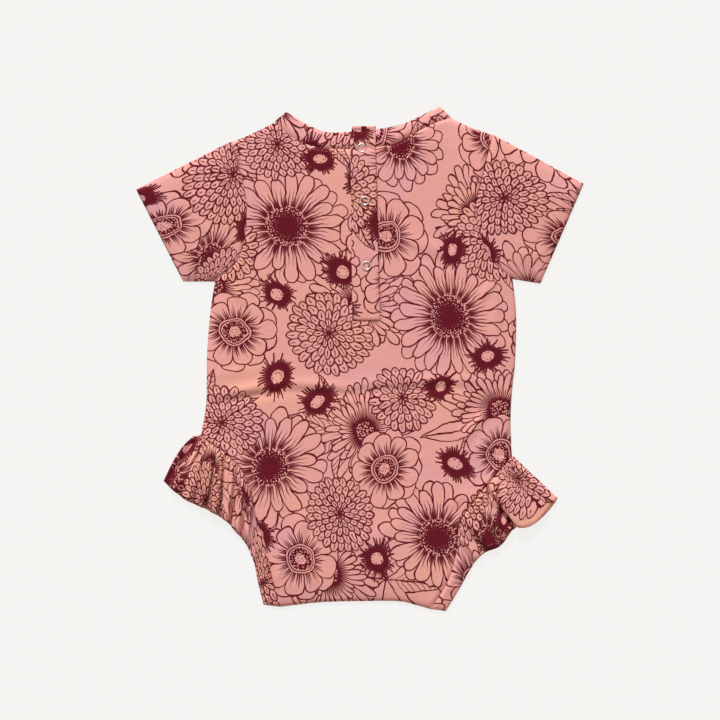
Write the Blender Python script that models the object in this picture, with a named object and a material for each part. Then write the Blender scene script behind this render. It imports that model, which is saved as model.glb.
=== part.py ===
"""Baby bodysuit with short sleeves and gathered leg strips, laid flat on its front.

X runs across the garment, Y from the crotch to the neck, and Z up from the surface it lies on.
Every size below is in millimetres. Left and right are those seen from above."""

import math
from collections import namedtuple

import bmesh
import bpy
import numpy as np

MM = 0.001

# The cloth and how its two layers lie on each other
WALL = 1.2
GAP = 0.3
LOW = WALL / 2  # middle of the lower layer, flat on the surface
HIGH = LOW + WALL + GAP  # middle of the upper layer at the outline
LOFT = 2.6  # how far the upper layer rises inside the outline
ROLL = 16.0  # distance from the outline over which it does so

# Rows and columns of the panels' grids
LEG_ROWS = 12
SIDE_ROWS = 9
ARM_ROWS = 9
SHOULDER_COLUMNS = 5
NECK_COLUMNS = 20
SLIT = 2.0
SLIT_FIRST_ROW = LEG_ROWS + 7

# Each row is one section across both panels, from the crotch up to the shoulder.
Section = namedtuple("Section", "left_x left_y right_x right_y")
LEG = (
    Section(-63.6, -198.0, 56.4, -199.8),
    Section(-70.8, -171.6, 71.0, -175.5),
    Section(-75.8, -148.0, 77.2, -154.0),
    Section(-82.8, -128.4, 79.6, -132.0),
    Section(-87.2, -106.0, 88.5, -117.0),
    Section(-97.0, -85.5, 104.5, -97.0),
    Section(-127.2, -61.4, 121.2, -77.6),
)
SIDE = (
    Section(-127.2, -61.4, 121.2, -77.6),
    Section(-122.8, -36.0, 120.2, -45.0),
    Section(-122.4, -16.0, 121.8, -21.0),
    Section(-122.2, 2.0, 123.6, -6.0),
    Section(-119.6, 36.0, 124.6, 36.0),
    Section(-115.6, 62.6, 121.6, 64.6),
)
ARMHOLE = (
    Section(-115.6, 62.6, 121.6, 64.6),
    Section(-96.5, 81.0, 104.0, 81.0),
    Section(-90.4, 118.8, 92.4, 116.4),
    Section(-95.5, 148.0, 98.5, 148.0),
    Section(-103.6, 172.8, 106.0, 178.8),
)
SHOULDER = (
    Section(-103.6, 172.8, 106.0, 178.8),
    Section(-84.0, 181.0, 88.5, 185.0),
    Section(-67.6, 189.2, 72.4, 192.4),
)

# Each row is a point of an edge.
Point = namedtuple("Point", "x y")
CROTCH = (
    Point(-63.6, -198.0),
    Point(-50.8, -196.4),
    Point(-30.0, -194.2),
    Point(0.0, -193.4),
    Point(32.0, -193.6),
    Point(45.0, -196.6),
    Point(56.4, -199.8),
)
NECK_BACK = (
    Point(-67.6, 189.2),
    Point(-55.6, 178.0),
    Point(-43.6, 171.6),
    Point(-22.8, 168.0),
    Point(2.4, 167.8),
    Point(26.0, 171.6),
    Point(38.8, 178.0),
    Point(61.2, 189.0),
    Point(72.4, 192.4),
)
NECK_FRONT = (
    Point(-67.6, 189.2),
    Point(-60.0, 167.0),
    Point(-36.0, 148.0),
    Point(2.4, 140.5),
    Point(40.0, 149.0),
    Point(64.0, 168.0),
    Point(72.4, 192.4),
)

# Each row ties a point of a strip's free edge to the share of its seam at which the cloth below it starts.
Edge = namedtuple("Edge", "at x y")
BAND_BACK = (
    Edge(0.00, -58.0, 197.2),
    Edge(0.10, -48.4, 190.8),
    Edge(0.20, -38.0, 185.2),
    Edge(0.33, -24.4, 181.0),
    Edge(0.50, 1.0, 182.4),
    Edge(0.62, 18.8, 184.4),
    Edge(0.72, 33.2, 187.4),
    Edge(0.88, 54.8, 197.2),
    Edge(1.00, 63.0, 201.2),
)
BAND_FRONT = (
    Edge(0.00, -58.0, 197.2),
    Edge(0.14, -49.5, 176.0),
    Edge(0.30, -31.0, 160.0),
    Edge(0.50, 2.4, 152.5),
    Edge(0.70, 35.0, 160.5),
    Edge(0.86, 53.5, 177.0),
    Edge(1.00, 63.0, 201.2),
)
BAND_LEFT_END = 0.48
BAND_RIGHT_END = 0.54
BAND_PARTS = 3
LEG_EDGE_LEFT = (
    Edge(0.000, -156.4, -98.0),
    Edge(0.044, -140.0, -112.0),
    Edge(0.106, -121.0, -121.0),
    Edge(0.215, -107.0, -129.6),
    Edge(0.320, -98.6, -138.8),
    Edge(0.434, -91.4, -147.0),
    Edge(0.548, -87.8, -154.8),
    Edge(0.645, -84.8, -162.0),
    Edge(0.794, -82.0, -176.0),
    Edge(1.000, -77.0, -196.4),
)
LEG_EDGE_RIGHT = (
    Edge(0.000, 157.6, -112.0),
    Edge(0.060, 147.8, -123.8),
    Edge(0.136, 134.8, -130.2),
    Edge(0.218, 121.8, -136.8),
    Edge(0.346, 112.4, -149.2),
    Edge(0.457, 102.4, -153.4),
    Edge(0.557, 94.8, -158.8),
    Edge(0.660, 87.6, -168.8),
    Edge(0.787, 81.0, -181.0),
    Edge(1.000, 68.6, -201.4),
)
LEG_STATIONS = 50
LEG_PARTS = 5
LEG_UNDER_SHARE = 0.97  # the hidden half is this much narrower, so it stays out of sight
LEG_UNDER_WAVES = 7
LEG_UNDER_RISE = 0.3  # its waves rise by this share of the room above them
FOLD_BULGE = {"left": 4.5, "right": 0.0}  # how far the folded side swells out past a straight line
FOLD_BULGE_REACH = 0.14  # share of the strip over which that swelling dies away
FOLD_BULGE_SKEW = 0.65  # under 1, the swelling is fullest near the seam

# Each row is a wave of a gathered strip: where its root stands along the free edge and its half width, both
# as shares of that edge, how high it stands and how far it leans towards the crotch.
Wave = namedtuple("Wave", "at reach rise lean")
WAVES_LEFT = (
    Wave(0.065, 0.050, 3.4, 2.0),
    Wave(0.165, 0.045, 2.6, -1.5),
    Wave(0.250, 0.045, 3.4, 1.0),
    Wave(0.335, 0.045, 4.2, 3.0),
    Wave(0.425, 0.045, 3.2, -1.0),
    Wave(0.520, 0.050, 2.6, 1.5),
    Wave(0.620, 0.050, 1.8, 0.0),
    Wave(0.730, 0.050, 1.0, 0.0),
)
WAVES_RIGHT = (
    Wave(0.070, 0.055, 2.4, -1.0),
    Wave(0.225, 0.085, 5.0, 12.0),
    Wave(0.405, 0.055, 2.4, 0.0),
    Wave(0.505, 0.050, 2.0, 1.0),
    Wave(0.610, 0.050, 1.6, 0.0),
    Wave(0.730, 0.050, 1.0, 0.0),
)
RISE_POWER = 0.8  # how the waves grow from the seam to the free edge
LEAN_POWER = 1.5

# Each row is a cuff, from its end at the folded shoulder line to its end at the underarm.
Cuff = namedtuple("Cuff", "top_x top_y low_x low_y")
CUFF_LEFT = Cuff(-178.6, 135.0, -141.6, 62.8)
CUFF_RIGHT = Cuff(178.4, 139.4, 144.4, 61.2)
SLEEVE_PARTS = 8
TURN_STEPS = 4  # steps of each half turn at a folded edge
SEAM_SET_IN = 0.65  # along a slanted row, which leaves at least the gap square to the seam

# Each row is a section of the slit's strips, from the neck down.
Strip = namedtuple("Strip", "y over_left over_right under_left under_right")
PLACKET = (
    Strip(186.0, -6.4, 12.4, -1.0, 17.0),
    Strip(168.0, -7.4, 12.6, -1.0, 17.6),
    Strip(110.0, -6.8, 14.0, -0.5, 18.6),
    Strip(30.8, -6.0, 16.2, 0.0, 19.4),
)
PLACKET_ROWS = 18
PLACKET_COLUMNS = 3
UNDER_TOP = 158.0
EDGE_LIFT = 0.8  # how far the loose right edge of the upper strip stands up
SNAPS = (Point(1.2, 168.4), Point(3.6, 126.2), Point(5.2, 74.5))
SNAP_OUTER = 7.4
SNAP_WIRE = 0.9
SNAP_CLEAR = 0.45  # more than the gap, because the strip under a ring isn't quite level
SNAP_STEPS = 16
SNAP_WIRE_STEPS = 6
CROTCH_SNAPS = (-32.0, 0.0, 32.0)
CROTCH_SNAP_Y = -181.0
CROTCH_SNAP_DIAMETER = 8.0
CROTCH_SNAP_HEIGHT = 0.8

# Each row is one of the largest folds: a soft ridge, or a trough where its rise is negative.
Fold = namedtuple("Fold", "x0 y0 x1 y1 rise spread")
FOLDS = (
    Fold(-120.0, -37.0, -62.0, -22.5, 1.5, 6.0),
    Fold(-62.0, -22.5, 96.0, -21.5, 1.0, 7.0),
    Fold(112.0, -33.0, 84.0, -66.0, 1.2, 6.0),
    Fold(112.0, -24.0, 76.0, -54.0, -0.8, 6.0),
    Fold(-44.0, -125.0, -68.0, -178.0, 1.1, 6.0),
    Fold(32.0, 95.0, 81.0, 78.0, 0.6, 8.0),
    Fold(-100.0, 136.0, -93.0, 82.0, 0.8, 5.0),
    Fold(88.0, 147.0, 98.0, 78.0, 0.8, 5.0),
    Fold(-28.0, -153.0, 33.0, -130.0, 0.6, 9.0),
)
FOLD_FADE = 11.0  # distance from the outline within which folds die away
CURVE_SAMPLES = 40  # for each row of a table, where a curve's length is measured
WELD = 0.01

CLOTH = (0.759, 0.351, 0.314, 1.0)
METAL = (0.80, 0.78, 0.74, 1.0)


def points_of(table, name=""):
    """The columns x and y of a table, or those with a name before them, as an array."""
    prefix = name + "_" if name else ""
    return np.array([(getattr(row, prefix + "x"), getattr(row, prefix + "y")) for row in table])


def along(points, at):
    """The smooth curve through the points, at row numbers that may be fractions."""
    points = np.asarray(points, float)
    step = np.linalg.norm(np.diff(points, axis=0), axis=1)[:, None]
    slope = np.empty_like(points)
    slope[1:-1] = (points[2:] - points[:-2]) / (step[1:] + step[:-1])
    slope[0] = 1.5 * (points[1] - points[0]) / step[0] - 0.5 * slope[1]
    slope[-1] = 1.5 * (points[-1] - points[-2]) / step[-1] - 0.5 * slope[-2]
    row = np.clip(np.floor(at).astype(int), 0, len(step) - 1)
    part = (at - row)[:, None]
    length = step[row]
    return (
        points[row] * (2 * part**3 - 3 * part**2 + 1)
        + slope[row] * length * (part**3 - 2 * part**2 + part)
        + points[row + 1] * (3 * part**2 - 2 * part**3)
        + slope[row + 1] * length * (part**3 - part**2)
    )


def even_rows(points, count):
    """Row numbers that part the smooth curve through the points into equal lengths."""
    fine = np.linspace(0, len(points) - 1, CURVE_SAMPLES * len(points))
    steps = np.linalg.norm(np.diff(along(points, fine), axis=0), axis=1)
    length = np.concatenate([[0], np.cumsum(steps)])
    return np.interp(np.linspace(0, length[-1], count + 1), length, fine)


def evenly(points, count):
    return along(points, even_rows(points, count))


def on_line(line, share):
    """Points of a polyline whose stretches count alike, at shares of it."""
    at = share * (len(line) - 1)
    return np.stack([np.interp(at, range(len(line)), line[:, axis]) for axis in (0, 1)], axis=-1)


def side_edge(name):
    """One side edge of both panels, from the crotch to the shoulder."""
    runs = ((LEG, LEG_ROWS), (SIDE, SIDE_ROWS), (ARMHOLE, ARM_ROWS))
    parts = [evenly(points_of(table, name), count) for table, count in runs]
    return np.concatenate([parts[0], parts[1][1:], parts[2][1:]])


def top_edge(neck):
    """The shoulders and the neck, from left to right."""
    left = evenly(points_of(SHOULDER, "left"), SHOULDER_COLUMNS)
    right = evenly(points_of(SHOULDER, "right"), SHOULDER_COLUMNS)[::-1]
    return np.concatenate([left, evenly(points_of(neck), NECK_COLUMNS)[1:], right[1:]])


def leg_seam(name):
    """The panels' edge at a leg opening, from the side to the crotch."""
    return side_edge(name)[: LEG_ROWS + 1][::-1]


def armhole(name):
    """The panels' edge at an armhole, from the armpit to the shoulder."""
    return side_edge(name)[-ARM_ROWS - 1 :]


def outline():
    """The closed outline of the whole garment, which its upper layer sinks to."""
    right_leg = points_of(LEG_EDGE_RIGHT)
    left_leg = points_of(LEG_EDGE_LEFT)[::-1]
    return np.concatenate(
        [
            points_of(BAND_BACK),
            points_of(SHOULDER, "right")[::-1],
            [(CUFF_RIGHT.top_x, CUFF_RIGHT.top_y), (CUFF_RIGHT.low_x, CUFF_RIGHT.low_y)],
            points_of(SIDE, "right")[::-1],
            right_leg,
            points_of(CROTCH)[::-1],
            left_leg,
            points_of(SIDE, "left"),
            [(CUFF_LEFT.low_x, CUFF_LEFT.low_y), (CUFF_LEFT.top_x, CUFF_LEFT.top_y)],
            points_of(SHOULDER, "left"),
        ]
    )


def off_segment(points, start, end):
    """Each point's distance from a segment."""
    run = end - start
    share = np.clip((points - start) @ run / (run @ run), 0, 1)
    return np.linalg.norm(points - start - share[..., None] * run, axis=-1)


def height(points):
    """How far the upper layer rises over its level at the outline."""
    rim = outline()
    inside = np.full(points.shape[:-1], np.inf)
    for start, end in zip(rim, np.roll(rim, -1, axis=0)):
        inside = np.minimum(inside, off_segment(points, start, end))
    rise = LOFT * (1 - np.exp(-inside / ROLL))
    fade = 1 - np.exp(-((inside / FOLD_FADE) ** 2))
    for fold in FOLDS:
        off = off_segment(points, np.array([fold.x0, fold.y0]), np.array([fold.x1, fold.y1]))
        rise = rise + fold.rise * fade * np.exp(-((off / fold.spread) ** 2))
    return np.maximum(rise, 0)


def laid(points, level, lift=None):
    """The points of a layer at its level, raised by what lies under it."""
    z = np.full(points.shape[:-1], float(level)) if lift is None else level + lift
    return np.concatenate([points, z[..., None]], axis=-1)


def upper(points, above=0.0):
    return laid(points, HIGH + above, height(points))


def half_turn(before, last, first):
    """The rows between two layers of a strip that is folded over, rounding out past the fold."""
    forward = (last - before)[:, :2]
    forward = forward / np.linalg.norm(forward, axis=1)[:, None]
    middle = (last + first) / 2
    radius = (last - first)[:, 2] / 2
    rows = []
    for step in range(1, TURN_STEPS):
        angle = math.pi * step / TURN_STEPS
        row = middle.copy()
        row[:, :2] += forward * (np.abs(radius) * math.sin(angle))[:, None]
        row[:, 2] += radius * math.cos(angle)
        rows.append(row)
    return rows


def folded(*layers):
    """One grid from layers that follow on from each other, with a half turn between each two."""
    rows = list(layers[0])
    for layer in layers[1:]:
        rows += half_turn(rows[-2], rows[-1], layer[0])
        rows += list(layer)
    return np.array(rows)


def across(seam, edge, parts, set_in):
    """Rows from a seam to a free edge, starting just clear of the seam."""
    width = np.linalg.norm(edge - seam, axis=1)
    share = set_in / width[:, None] + (1 - set_in / width[:, None]) * np.linspace(0, 1, parts + 1)
    return seam[:, None] + (edge - seam)[:, None] * share[..., None], share


def material(name, colour, roughness, metallic):
    made = bpy.data.materials.new(name)
    made.use_nodes = True
    shader = made.node_tree.nodes["Principled BSDF"]
    shader.inputs["Base Color"].default_value = colour
    shader.inputs["Roughness"].default_value = roughness
    shader.inputs["Metallic"].default_value = metallic
    return made


def add_object(name, bm, surface, parent):
    mesh = bpy.data.meshes.new(name)
    bm.to_mesh(mesh)
    bm.free()
    mesh.shade_smooth()
    mesh.materials.append(surface)
    made = bpy.data.objects.new(name, mesh)
    made.parent = parent
    bpy.context.scene.collection.objects.link(made)
    return made


def thicken(made):
    solidify = made.modifiers.new("Wall", "SOLIDIFY")
    solidify.thickness = WALL * MM
    solidify.offset = 0
    return made


def cloth(name, grid, surface, parent, closed=False, slit=None):
    """A wall of cloth on a grid of points. A closed one is a tube, and a slit is cut between two columns."""
    rows, columns = grid.shape[:2]
    bm = bmesh.new()
    bmesh.ops.create_grid(bm, x_segments=columns - 1, y_segments=rows - 1, size=1)
    place = {}
    for vert in bm.verts:
        column = round((vert.co.x + 1) / 2 * (columns - 1))
        row = round((vert.co.y + 1) / 2 * (rows - 1))
        place[row, column] = vert
        vert.co = grid[row, column] * MM
    if slit:
        first_row, column = slit
        opened = []
        for row in range(first_row, rows - 1):
            corner, opposite = place[row, column], place[row + 1, column + 1]
            opened += [face for face in corner.link_faces if opposite in face.verts]
        bmesh.ops.delete(bm, geom=opened, context="FACES")
    if closed:
        bmesh.ops.remove_doubles(bm, verts=bm.verts, dist=WELD * MM)
    return thicken(add_object(name, bm, surface, parent))


def panel_grid(neck):
    """Points of a panel, row by row from the crotch up, with the centre column parted by the slit."""
    left, right = side_edge("left"), side_edge("right")
    columns = 2 * SHOULDER_COLUMNS + NECK_COLUMNS
    share = np.linspace(0, 1, columns + 1)[None, :, None]
    grid = left[:, None] * (1 - share) + right[:, None] * share
    row = np.arange(len(left))
    near_crotch = np.clip(1 - row / LEG_ROWS, 0, 1)[:, None, None]
    near_neck = np.clip((row - LEG_ROWS - SIDE_ROWS) / ARM_ROWS, 0, 1)[:, None, None]
    grid = grid + near_crotch * (evenly(points_of(CROTCH), columns) - grid[0])
    grid = grid + near_neck * (top_edge(neck) - grid[-1])
    middle = columns // 2
    halves = [grid[:, : middle + 1].copy(), grid[:, middle:].copy()]
    halves[0][:, -1, 0] -= SLIT / 2
    halves[1][:, 0, 0] += SLIT / 2
    return np.concatenate(halves, axis=1)


def back_body(surface, parent):
    grid = panel_grid(NECK_BACK)
    middle = SHOULDER_COLUMNS + NECK_COLUMNS // 2
    cloth("back_body", upper(grid), surface, parent, slit=(SLIT_FIRST_ROW, middle))


def front_body(surface, parent):
    """The front panel is flat, so it is one face inside its edge, thickened."""
    left, right = side_edge("left"), side_edge("right")
    columns = 2 * SHOULDER_COLUMNS + NECK_COLUMNS
    crotch = evenly(points_of(CROTCH), columns)[::2]
    edge = np.concatenate([crotch, right[1:], top_edge(NECK_FRONT)[::-1][1:], left[::-1][1:-1]])
    bm = bmesh.new()
    bm.faces.new([bm.verts.new(point * MM) for point in laid(edge, LOW)])
    thicken(add_object("front_body", bm, surface, parent))


def neckband(surface, parent):
    """One strip from the slit's left edge round the neck to its right edge, folded at both shoulders."""
    back_seam = evenly(points_of(NECK_BACK), NECK_COLUMNS)
    front_seam = evenly(points_of(NECK_FRONT), NECK_COLUMNS)

    def layer(table, seam, first, last, level):
        count = max(round(abs(last - first) * 2 * NECK_COLUMNS), 1)
        share = np.linspace(first, last, count + 1)
        edge = along(points_of(table), np.interp(share, [row.at for row in table], range(len(table))))
        rows, _ = across(on_line(seam, share), edge, BAND_PARTS, GAP)
        return level(rows)

    grid = folded(
        layer(BAND_BACK, back_seam, BAND_LEFT_END, 0, upper),
        layer(BAND_FRONT, front_seam, 0, 1, lambda rows: laid(rows, LOW)),
        layer(BAND_BACK, back_seam, 1, BAND_RIGHT_END, upper),
    )
    cloth("neckband", grid, surface, parent)


def strip_ends(name, y):
    """The left and right ends of one of the slit's strips, at heights up the garment."""
    level = [row.y for row in reversed(PLACKET)]
    ends = [[getattr(row, f"{name}_{side}") for row in reversed(PLACKET)] for side in ("left", "right")]
    return [np.interp(y, level, end) for end in ends]


def strip_lift(share, y):
    """How far the upper strip's loose right edge stands up: most half way down, and not at the ends."""
    down = (PLACKET[0].y - y) / (PLACKET[0].y - PLACKET[-1].y)
    return EDGE_LIFT * share**3 * np.sin(math.pi * down)


def placket(surface, parent):
    """The two strips of the slit: one on the panel, the other under it."""
    share = np.linspace(0, 1, PLACKET_COLUMNS + 1)
    for name, top, above in (("over", PLACKET[0].y, WALL + GAP), ("under", UNDER_TOP, -WALL - GAP)):
        y = np.linspace(top, PLACKET[-1].y, PLACKET_ROWS + 1)[:, None]
        left, right = strip_ends(name, y)
        grid = upper(np.stack(np.broadcast_arrays(left + (right - left) * share, y), axis=-1), above)
        if name == "over":
            grid[..., 2] += strip_lift(share, y)
        cloth(f"placket_{name}", grid, surface, parent)


def snap_rings(surface, parent):
    """Open rings on the upper strip."""
    for number, snap in enumerate(SNAPS, 1):
        left, right = strip_ends("over", snap.y)
        strip_z = upper(np.array([snap]), WALL + GAP)[0, 2]
        strip_z += strip_lift((snap.x - left) / (right - left), snap.y)
        bpy.ops.mesh.primitive_torus_add(
            major_radius=(SNAP_OUTER - SNAP_WIRE) / 2 * MM,
            minor_radius=SNAP_WIRE / 2 * MM,
            major_segments=SNAP_STEPS,
            minor_segments=SNAP_WIRE_STEPS,
            location=(snap.x * MM, snap.y * MM, (strip_z + (WALL + SNAP_WIRE) / 2 + SNAP_CLEAR) * MM),
        )
        ring = bpy.context.object
        ring.name = f"snap_ring_{number}"
        ring.parent = parent
        ring.data.shade_smooth()
        ring.data.materials.append(surface)


def crotch_snaps(surface, parent):
    """Flat snaps that hold the two panels together, hidden between them."""
    for number, x in enumerate(CROTCH_SNAPS, 1):
        bm = bmesh.new()
        radius = CROTCH_SNAP_DIAMETER / 2 * MM
        bmesh.ops.create_cone(
            bm,
            cap_ends=True,
            segments=SNAP_STEPS,
            radius1=radius,
            radius2=radius,
            depth=CROTCH_SNAP_HEIGHT * MM,
        )
        made = add_object(f"crotch_snap_{number}", bm, surface, parent)
        made.data.set_sharp_from_angle(angle=math.radians(40))
        made.location = (x * MM, CROTCH_SNAP_Y * MM, (WALL + GAP + CROTCH_SNAP_HEIGHT / 2) * MM)


def sleeve(name, cuff, surface, parent):
    """A tube pressed flat: its upper layer, the underarm fold, its lower layer and the shoulder fold."""
    seam = armhole(name)[::-1]
    share = np.linspace(0, 1, len(seam))[:, None]
    hem = np.array([cuff.top_x, cuff.top_y]) * (1 - share) + np.array([cuff.low_x, cuff.low_y]) * share
    rows, _ = across(seam, hem, SLEEVE_PARTS, SEAM_SET_IN)
    over, under = upper(rows), laid(rows, LOW)[::-1]
    grid = folded(over, under)
    shoulder_fold = half_turn(under[-2], under[-1], over[0])
    grid = np.concatenate([grid, shoulder_fold, over[:1]])
    cloth(f"sleeve_{name}", grid, surface, parent, closed=True)


def leg_layer(name, table, at):
    """Rows of a leg strip from the side fold to the crotch, at row numbers of its table.

    It also gives each point's share of the way across from the seam and down from the side fold."""
    edge = along(points_of(table), at)
    seam = on_line(leg_seam(name), np.interp(at, range(len(table)), [row.at for row in table]))
    rows, share = across(seam, edge, LEG_PARTS, SEAM_SET_IN)
    down = np.linspace(0, 1, len(at))[:, None]
    outward = (rows[0] - rows[1]).sum(axis=0)
    outward /= np.linalg.norm(outward)
    swell = np.sin(math.pi * share**FOLD_BULGE_SKEW) * np.clip(1 - down / FOLD_BULGE_REACH, 0, 1) ** 2
    return rows + FOLD_BULGE[name] * swell[..., None] * outward, share, down


def leg_ruffle(name, table, waves, surface, parent):
    """One gathered strip round a leg opening, folded at the side: its back half lies on its front half."""
    rows, share, down = leg_layer(name, table, even_rows(points_of(table), LEG_STATIONS))
    forward = np.gradient(rows[:, -1], axis=0)
    forward = (forward / np.linalg.norm(forward, axis=1)[:, None])[:, None]
    lean = np.zeros_like(share)
    rise = np.zeros_like(share)
    for wave in waves:
        off = np.clip((down - wave.at) / wave.reach, -1, 1)
        swing = (1 + np.cos(math.pi * off)) / 2
        rise += wave.rise * swing * share**RISE_POWER
        lean += wave.lean * swing * share**LEAN_POWER
    over = upper(rows + lean[..., None] * forward)
    over[..., 2] += rise

    seam_share = np.linspace(0, 1, 2 * LEG_ROWS + 1)
    at = np.interp(seam_share, [row.at for row in table], range(len(table)))
    rows, share, down = leg_layer(name, table, at)
    narrow = 1 - (1 - LEG_UNDER_SHARE) * np.clip(down / FOLD_BULGE_REACH, 0, 1)
    rows = rows[:, :1] + (rows - rows[:, :1]) * narrow[..., None]
    swing = share * (1 - np.cos(2 * math.pi * LEG_UNDER_WAVES * down)) / 2
    under = laid(rows, LOW, LEG_UNDER_RISE * height(rows) * swing)
    cloth(f"leg_ruffle_{name}", folded(over[::-1], under), surface, parent)


def centre(parent):
    """Sets the origin under the middle of the garment, on the surface."""
    bpy.context.view_layer.update()
    graph = bpy.context.evaluated_depsgraph_get()
    corners = [
        made.matrix_world @ corner.co
        for made in parent.children
        for corner in made.evaluated_get(graph).data.vertices
    ]
    for axis in (0, 1):
        values = [corner[axis] for corner in corners]
        parent.location[axis] = -(min(values) + max(values)) / 2


def main():
    for old in list(bpy.data.objects):
        bpy.data.objects.remove(old)
    jersey = material("jersey", CLOTH, 0.9, 0.0)
    metal = material("snap_metal", METAL, 0.3, 1.0)
    garment = bpy.data.objects.new("bodysuit", None)
    bpy.context.scene.collection.objects.link(garment)

    front_body(jersey, garment)
    back_body(jersey, garment)
    neckband(jersey, garment)
    placket(jersey, garment)
    snap_rings(metal, garment)
    crotch_snaps(metal, garment)
    sleeve("left", CUFF_LEFT, jersey, garment)
    sleeve("right", CUFF_RIGHT, jersey, garment)
    leg_ruffle("left", LEG_EDGE_LEFT, WAVES_LEFT, jersey, garment)
    leg_ruffle("right", LEG_EDGE_RIGHT, WAVES_RIGHT, jersey, garment)
    centre(garment)


main()
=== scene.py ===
"""How the baby bodysuit looks: printed jersey, seams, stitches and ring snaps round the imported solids.

X runs across the garment, Y from the crotch to the neck, and Z up from the surface it lies on.
Every size below is in millimetres. Left and right are those seen from above."""

import math
from collections import namedtuple

import bmesh
import bpy
import numpy as np
from mathutils import Matrix, Vector


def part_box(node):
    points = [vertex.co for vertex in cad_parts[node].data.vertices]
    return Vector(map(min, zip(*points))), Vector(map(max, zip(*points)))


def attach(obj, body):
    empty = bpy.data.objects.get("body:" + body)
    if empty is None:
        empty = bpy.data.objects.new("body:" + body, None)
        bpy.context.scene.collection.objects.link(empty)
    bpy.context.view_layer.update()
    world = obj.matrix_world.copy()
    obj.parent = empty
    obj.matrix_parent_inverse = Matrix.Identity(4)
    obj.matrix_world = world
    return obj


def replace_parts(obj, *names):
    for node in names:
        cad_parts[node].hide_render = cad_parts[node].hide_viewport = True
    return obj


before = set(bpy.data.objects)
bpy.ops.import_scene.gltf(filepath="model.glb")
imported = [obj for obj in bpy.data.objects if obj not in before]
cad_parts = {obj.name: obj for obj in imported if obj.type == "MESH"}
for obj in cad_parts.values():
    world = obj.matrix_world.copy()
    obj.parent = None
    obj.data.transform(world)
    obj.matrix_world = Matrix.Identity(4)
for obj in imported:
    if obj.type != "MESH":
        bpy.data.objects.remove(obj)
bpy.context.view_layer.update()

MM = 0.001
SIDES = ("left", "right")


def table(kind, *rows):
    """Rows of numbers whose columns have the names of their kind."""
    return tuple(kind(*row) for row in rows)


# The cloth and how its two layers lie on each other
WALL = 0.9
LOW = WALL / 2  # middle of the lower layer, flat on the surface
HIGH = 2.1  # middle of the upper layer near the outline, as in the solids
EDGE_DROP = 0.72  # how far the upper layer sinks at the outline, down to the lower one
EDGE_ROUND = 1.6  # distance from the outline over which it does so
LOFT = 2.6  # how far the upper layer rises inside the outline
ROLL = 16.0  # distance from the outline over which it does so
OVER = 1.0  # how far a strip lies above the panel under it

# Rows and columns of the cloth's grids
LEG_ROWS = 52
SIDE_ROWS = 60
ARM_ROWS = 48
SHOULDER_COLUMNS = 22
NECK_COLUMNS = 100
FRONT_STEP = 4  # the front panel lies flat, so it has this many times fewer rows and columns
SLIT = 2.0
SLIT_SHARE = 0.65  # the most that it takes of the columns beside it
SLIT_FIRST_ROW = LEG_ROWS + 47

# Each row is one section across both panels, from the crotch up to the shoulder.
Section = namedtuple("Section", "left_x left_y right_x right_y")
LEG = table(
    Section,
    (-63.6, -198.0, 56.4, -199.8),
    (-70.8, -171.6, 71.0, -175.5),
    (-75.8, -148.0, 77.2, -154.0),
    (-82.8, -128.4, 79.6, -132.0),
    (-87.2, -106.0, 88.5, -117.0),
    (-97.0, -85.5, 104.5, -97.0),
    (-127.2, -61.4, 121.2, -77.6),
)
SIDE = table(
    Section,
    (-127.2, -61.4, 121.2, -77.6),
    (-122.8, -36.0, 120.2, -45.0),
    (-122.4, -16.0, 121.8, -21.0),
    (-122.2, 2.0, 123.6, -6.0),
    (-119.6, 36.0, 124.6, 36.0),
    (-115.6, 62.6, 121.6, 64.6),
)
ARMHOLE = table(
    Section,
    (-115.6, 62.6, 121.6, 64.6),
    (-96.5, 81.0, 104.0, 81.0),
    (-90.4, 118.8, 92.4, 116.4),
    (-95.5, 148.0, 98.5, 148.0),
    (-103.6, 172.8, 106.0, 178.8),
)
SHOULDER = table(
    Section,
    (-103.6, 172.8, 106.0, 178.8),
    (-84.0, 181.0, 88.5, 185.0),
    (-67.6, 189.2, 72.4, 192.4),
)

# Each row is a point of an edge.
Point = namedtuple("Point", "x y")
CROTCH = table(
    Point,
    (-63.6, -198.0),
    (-50.8, -196.4),
    (-30.0, -194.2),
    (0.0, -193.4),
    (32.0, -193.6),
    (45.0, -196.6),
    (56.4, -199.8),
)
NECK_BACK = table(
    Point,
    (-67.6, 189.2),
    (-55.6, 178.0),
    (-43.6, 171.6),
    (-22.8, 168.0),
    (2.4, 167.8),
    (26.0, 171.6),
    (38.8, 178.0),
    (61.2, 189.0),
    (72.4, 192.4),
)
NECK_FRONT = table(
    Point,
    (-67.6, 189.2),
    (-60.0, 167.0),
    (-36.0, 148.0),
    (2.4, 140.5),
    (40.0, 149.0),
    (64.0, 168.0),
    (72.4, 192.4),
)

# Each row ties a point of a strip's free edge to the share of its seam at which the cloth below it starts.
Edge = namedtuple("Edge", "at x y")
BAND_BACK = table(
    Edge,
    (0.00, -58.0, 197.2),
    (0.10, -48.4, 190.8),
    (0.20, -38.0, 185.2),
    (0.33, -24.4, 181.0),
    (0.50, 1.0, 182.4),
    (0.62, 18.8, 184.4),
    (0.72, 33.2, 187.4),
    (0.88, 54.8, 197.2),
    (1.00, 63.0, 201.2),
)
BAND_FRONT = table(
    Edge,
    (0.00, -58.0, 197.2),
    (0.14, -49.5, 176.0),
    (0.30, -31.0, 160.0),
    (0.50, 2.4, 152.5),
    (0.70, 35.0, 160.5),
    (0.86, 53.5, 177.0),
    (1.00, 63.0, 201.2),
)
BAND_LEFT_END = 0.48
BAND_RIGHT_END = 0.54
BAND_PARTS = 10
BAND_CROWN = 0.45  # how far the doubled neckband swells between its seam and its fold
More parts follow.
